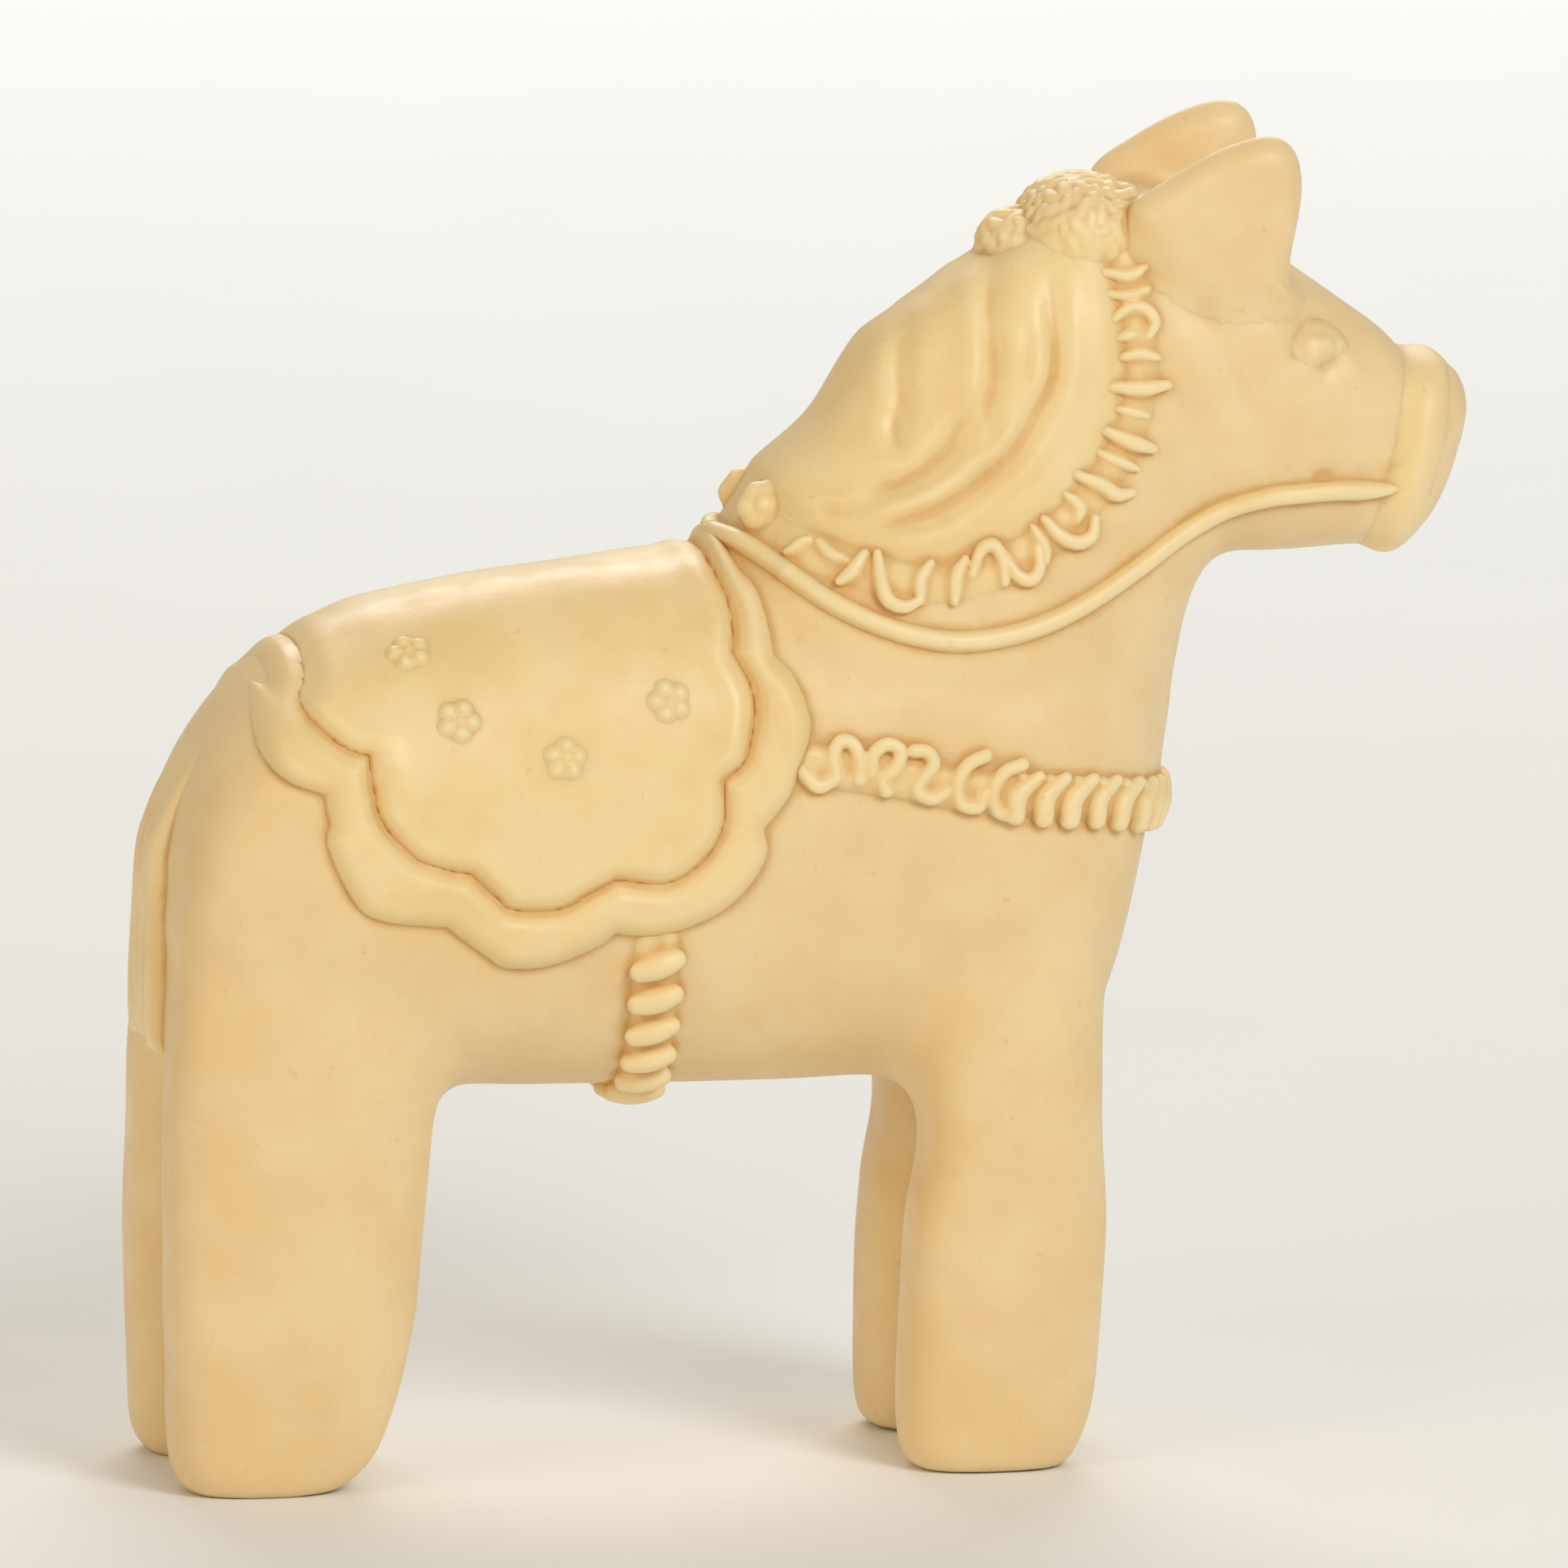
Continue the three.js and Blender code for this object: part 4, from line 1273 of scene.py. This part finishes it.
class Nodes:
    """A material's node tree, with short calls for the few kinds of node that it needs."""

    def __init__(self, name):
        self.material = bpy.data.materials.new(name)
        self.material.use_nodes = True
        self.tree = self.material.node_tree
        self.tree.nodes.clear()

    def add(self, kind, inputs=(), **settings):
        node = self.tree.nodes.new(kind)
        for key, value in settings.items():
            setattr(node, key, value)
        for key, value in dict(inputs).items():
            if isinstance(value, bpy.types.NodeSocket):
                self.tree.links.new(value, node.inputs[key])
            else:
                node.inputs[key].default_value = value
        return node

    def noise(self, place, scale, detail, roughness=0.5):
        inputs = {"Vector": place, "Scale": scale, "Detail": detail, "Roughness": roughness}
        return self.add("ShaderNodeTexNoise", inputs).outputs["Fac"]

    def map(self, value, low, high, to_low=0.0, to_high=1.0):
        inputs = {"Value": value, 1: low, 2: high, 3: to_low, 4: to_high}
        node = self.add("ShaderNodeMapRange", inputs, interpolation_type="SMOOTHSTEP")
        return node.outputs["Result"]

    def math(self, operation, a, b):
        return self.add("ShaderNodeMath", {0: a, 1: b}, operation=operation).outputs[0]

    def mix(self, share, a, b):
        node = self.add("ShaderNodeMix", {0: share, 6: a, 7: b}, data_type="RGBA")
        return node.outputs[2]

    def mark(self, name):
        return self.add("ShaderNodeAttribute", attribute_name=name).outputs["Fac"]

    def bump(self, inputs):
        return self.add("ShaderNodeBump", inputs).outputs["Normal"]

    def surface(self, inputs):
        """Ends the tree in a shader with these inputs, and hands over the material."""
        shader = self.add("ShaderNodeBsdfPrincipled", inputs)
        output = self.add("ShaderNodeOutputMaterial")
        self.tree.links.new(shader.outputs["BSDF"], output.inputs["Surface"])
        return self.material


def linear(red, green, blue):
    """A colour that a screen shows as these three numbers from 0 to 255."""
    parts = [c / 255 for c in (red, green, blue)]
    return [p / 12.92 if p <= 0.04045 else ((p + 0.055) / 1.055) ** 2.4 for p in parts] + [1.0]


def painted_resin(name, cream, deep_cream, ochre_wash_and_shade, pale, wash_and_shade_strength):
    """Cream paint over resin: blotches; ochre in the recesses, partly real antiquing and partly
    painted shade, and painted shade alone over broad hollows; paler raised edges, partly worn and
    partly a painted highlight.
    """
    nodes = Nodes(name)
    place = nodes.add("ShaderNodeTexCoord").outputs["Object"]
    blotches = nodes.noise(place, 220, 3, 0.55)
    patches = nodes.noise(place, 700, 4, 0.6)
    grain = nodes.noise(place, 5200, 3, 0.6)
    tone = nodes.map(nodes.math("ADD", blotches, nodes.math("MULTIPLY", patches, 0.35)), 0.5, 0.85)
    colour = nodes.mix(tone, cream, deep_cream)
    recess = nodes.mark("recess")
    wide_occlusion = nodes.mark("wide_occlusion")
    # Ochre in creases: partly the real antiquing and partly painted shade where the creases fall
    # into shade.
    wash_and_shade_depth = nodes.math("ADD", recess, nodes.math("MULTIPLY", patches, 0.05))
    close_wash_and_shade = nodes.map(wash_and_shade_depth, 0.035, 0.17)
    # Painted shade: ochre over broad hollows, under the belly and between the legs, by how sheltered
    # the point is.
    wide_painted_shade = nodes.map(wide_occlusion, 0.03, 0.3, 0.0, 0.5)
    uneven = nodes.map(patches, 0.3, 0.7, 0.7, 1.0)
    amount = nodes.math("MAXIMUM", close_wash_and_shade, wide_painted_shade)
    amount = nodes.math("MULTIPLY", nodes.math("MULTIPLY", amount, uneven), wash_and_shade_strength)
    colour = nodes.mix(amount, colour, ochre_wash_and_shade)
    # Paler raised edges: partly worn by rubbing and partly a painted highlight.
    rubbed_and_highlit = nodes.map(recess, -0.03, -0.16, 0.0, 0.6)
    colour = nodes.mix(rubbed_and_highlit, colour, pale)
    specks = nodes.map(nodes.noise(place, 2600, 2, 0.5), 0.68, 0.78, 0.0, 0.25)
    colour = nodes.mix(specks, colour, ochre_wash_and_shade)
    sheen = nodes.map(patches, 0.3, 0.7, 0.36, 0.5)
    roughness = nodes.math("ADD", sheen, nodes.math("MULTIPLY", amount, 0.12))
    coarse = nodes.bump({"Height": patches, "Strength": 0.22, "Distance": 0.00012})
    fine = nodes.bump({"Height": grain, "Strength": 0.16, "Distance": 0.00003, "Normal": coarse})
    return nodes.surface({
        "Base Color": colour,
        "Roughness": roughness,
        "Normal": fine,
        "Specular IOR Level": 0.42,
        "Subsurface Weight": 0.18,
        "Subsurface Radius": (1.0, 0.55, 0.25),
        "Subsurface Scale": 0.0008,
    })


finishes = {
    # The third colour of each paint is the ochre of the antiquing and of the painted shade; the
    # fourth is the paler edge colour, partly a painted highlight.
    "cream_resin": painted_resin(
        "cream_resin_paint",
        linear(241, 217, 169),
        linear(236, 207, 155),
        linear(218, 171, 103),
        linear(248, 230, 188),
        0.8,
    ),
    "relief_resin": painted_resin(
        "relief_resin_paint",
        linear(245, 221, 169),
        linear(240, 211, 154),
        linear(219, 172, 102),
        linear(250, 233, 190),
        0.78,
    ),
}
for piece, _, _, finish in made:
    piece.data.materials.append(finishes[finish])

# ---- Stage ----

FLOOR_HALF = 8.0


def stage_floor():
    """A pale floor that runs on to the horizon on every side."""
    corners = [(-1, -1), (1, -1), (1, 1), (-1, 1)]
    mesh = bpy.data.meshes.new("floor")
    mesh.from_pydata([(FLOOR_HALF * x, FLOOR_HALF * y, 0.0) for x, y in corners], [], [(0, 1, 2, 3)])
    floor = bpy.data.objects.new("floor", mesh)
    bpy.context.scene.collection.objects.link(floor)
    nodes = Nodes("floor_paper")
    place = nodes.add("ShaderNodeTexCoord").outputs["Object"]
    tone = nodes.mix(nodes.noise(place, 60, 3), linear(244, 247, 250), linear(248, 251, 254))
    mesh.materials.append(nodes.surface({"Base Color": tone, "Roughness": 0.85}))


stage_floor()

MIDDLE = Vector((0.0, 0.0, 0.022))


def area_light(name, place, target, size, power, colour):
    lamp = bpy.data.lights.new(name, "AREA")
    lamp.shape = "DISK"
    lamp.size = size
    lamp.energy = power
    lamp.color = colour
    holder = bpy.data.objects.new(name, lamp)
    holder.location = place
    holder.rotation_euler = (Vector(target) - Vector(place)).to_track_quat("-Z", "Y").to_euler()
    bpy.context.scene.collection.objects.link(holder)


area_light("key", (0.22, -0.52, 0.38), MIDDLE, 0.26, 1.74, (1.0, 0.98, 0.95))
area_light("fill", (-0.5, -0.36, 0.25), MIDDLE, 0.4, 0.85, (1.0, 0.74, 0.42))
area_light("top", (-0.05, 0.1, 0.6), MIDDLE, 0.3, 0.05, (1.0, 0.97, 0.92))
area_light("floor", (0.1, 0.62, 0.45), (0.05, 0.26, 0.0), 0.5, 2.2, (1.0, 1.0, 1.0))

world = bpy.data.worlds.new("studio")
world.use_nodes = True
background = world.node_tree.nodes["Background"]
background.inputs["Color"].default_value = (1.0, 0.92, 0.78, 1.0)
background.inputs["Strength"].default_value = 0.38
bpy.context.scene.world = world

AZIMUTH = math.radians(-11.0)
ELEVATION = math.radians(9.0)
CAMERA_DISTANCE = 1.0
VIEW_SIDE = 0.0526  # the side of the square that the camera sees at the horse's distance
AIM = Vector((0.00015, 0.003524, 0.022016))

camera_data = bpy.data.cameras.new("camera")
camera_data.sensor_width = 36.0
camera_data.lens = 36.0 * CAMERA_DISTANCE / VIEW_SIDE
camera = bpy.data.objects.new("camera", camera_data)
back = Vector((
    math.sin(AZIMUTH) * math.cos(ELEVATION),
    -math.cos(AZIMUTH) * math.cos(ELEVATION),
    math.sin(ELEVATION),
))
camera.location = AIM + back * CAMERA_DISTANCE
camera.rotation_euler = (-back).to_track_quat("-Z", "Y").to_euler()
bpy.context.scene.collection.objects.link(camera)
bpy.context.scene.camera = camera
bpy.context.scene.view_settings.view_transform = "Standard"
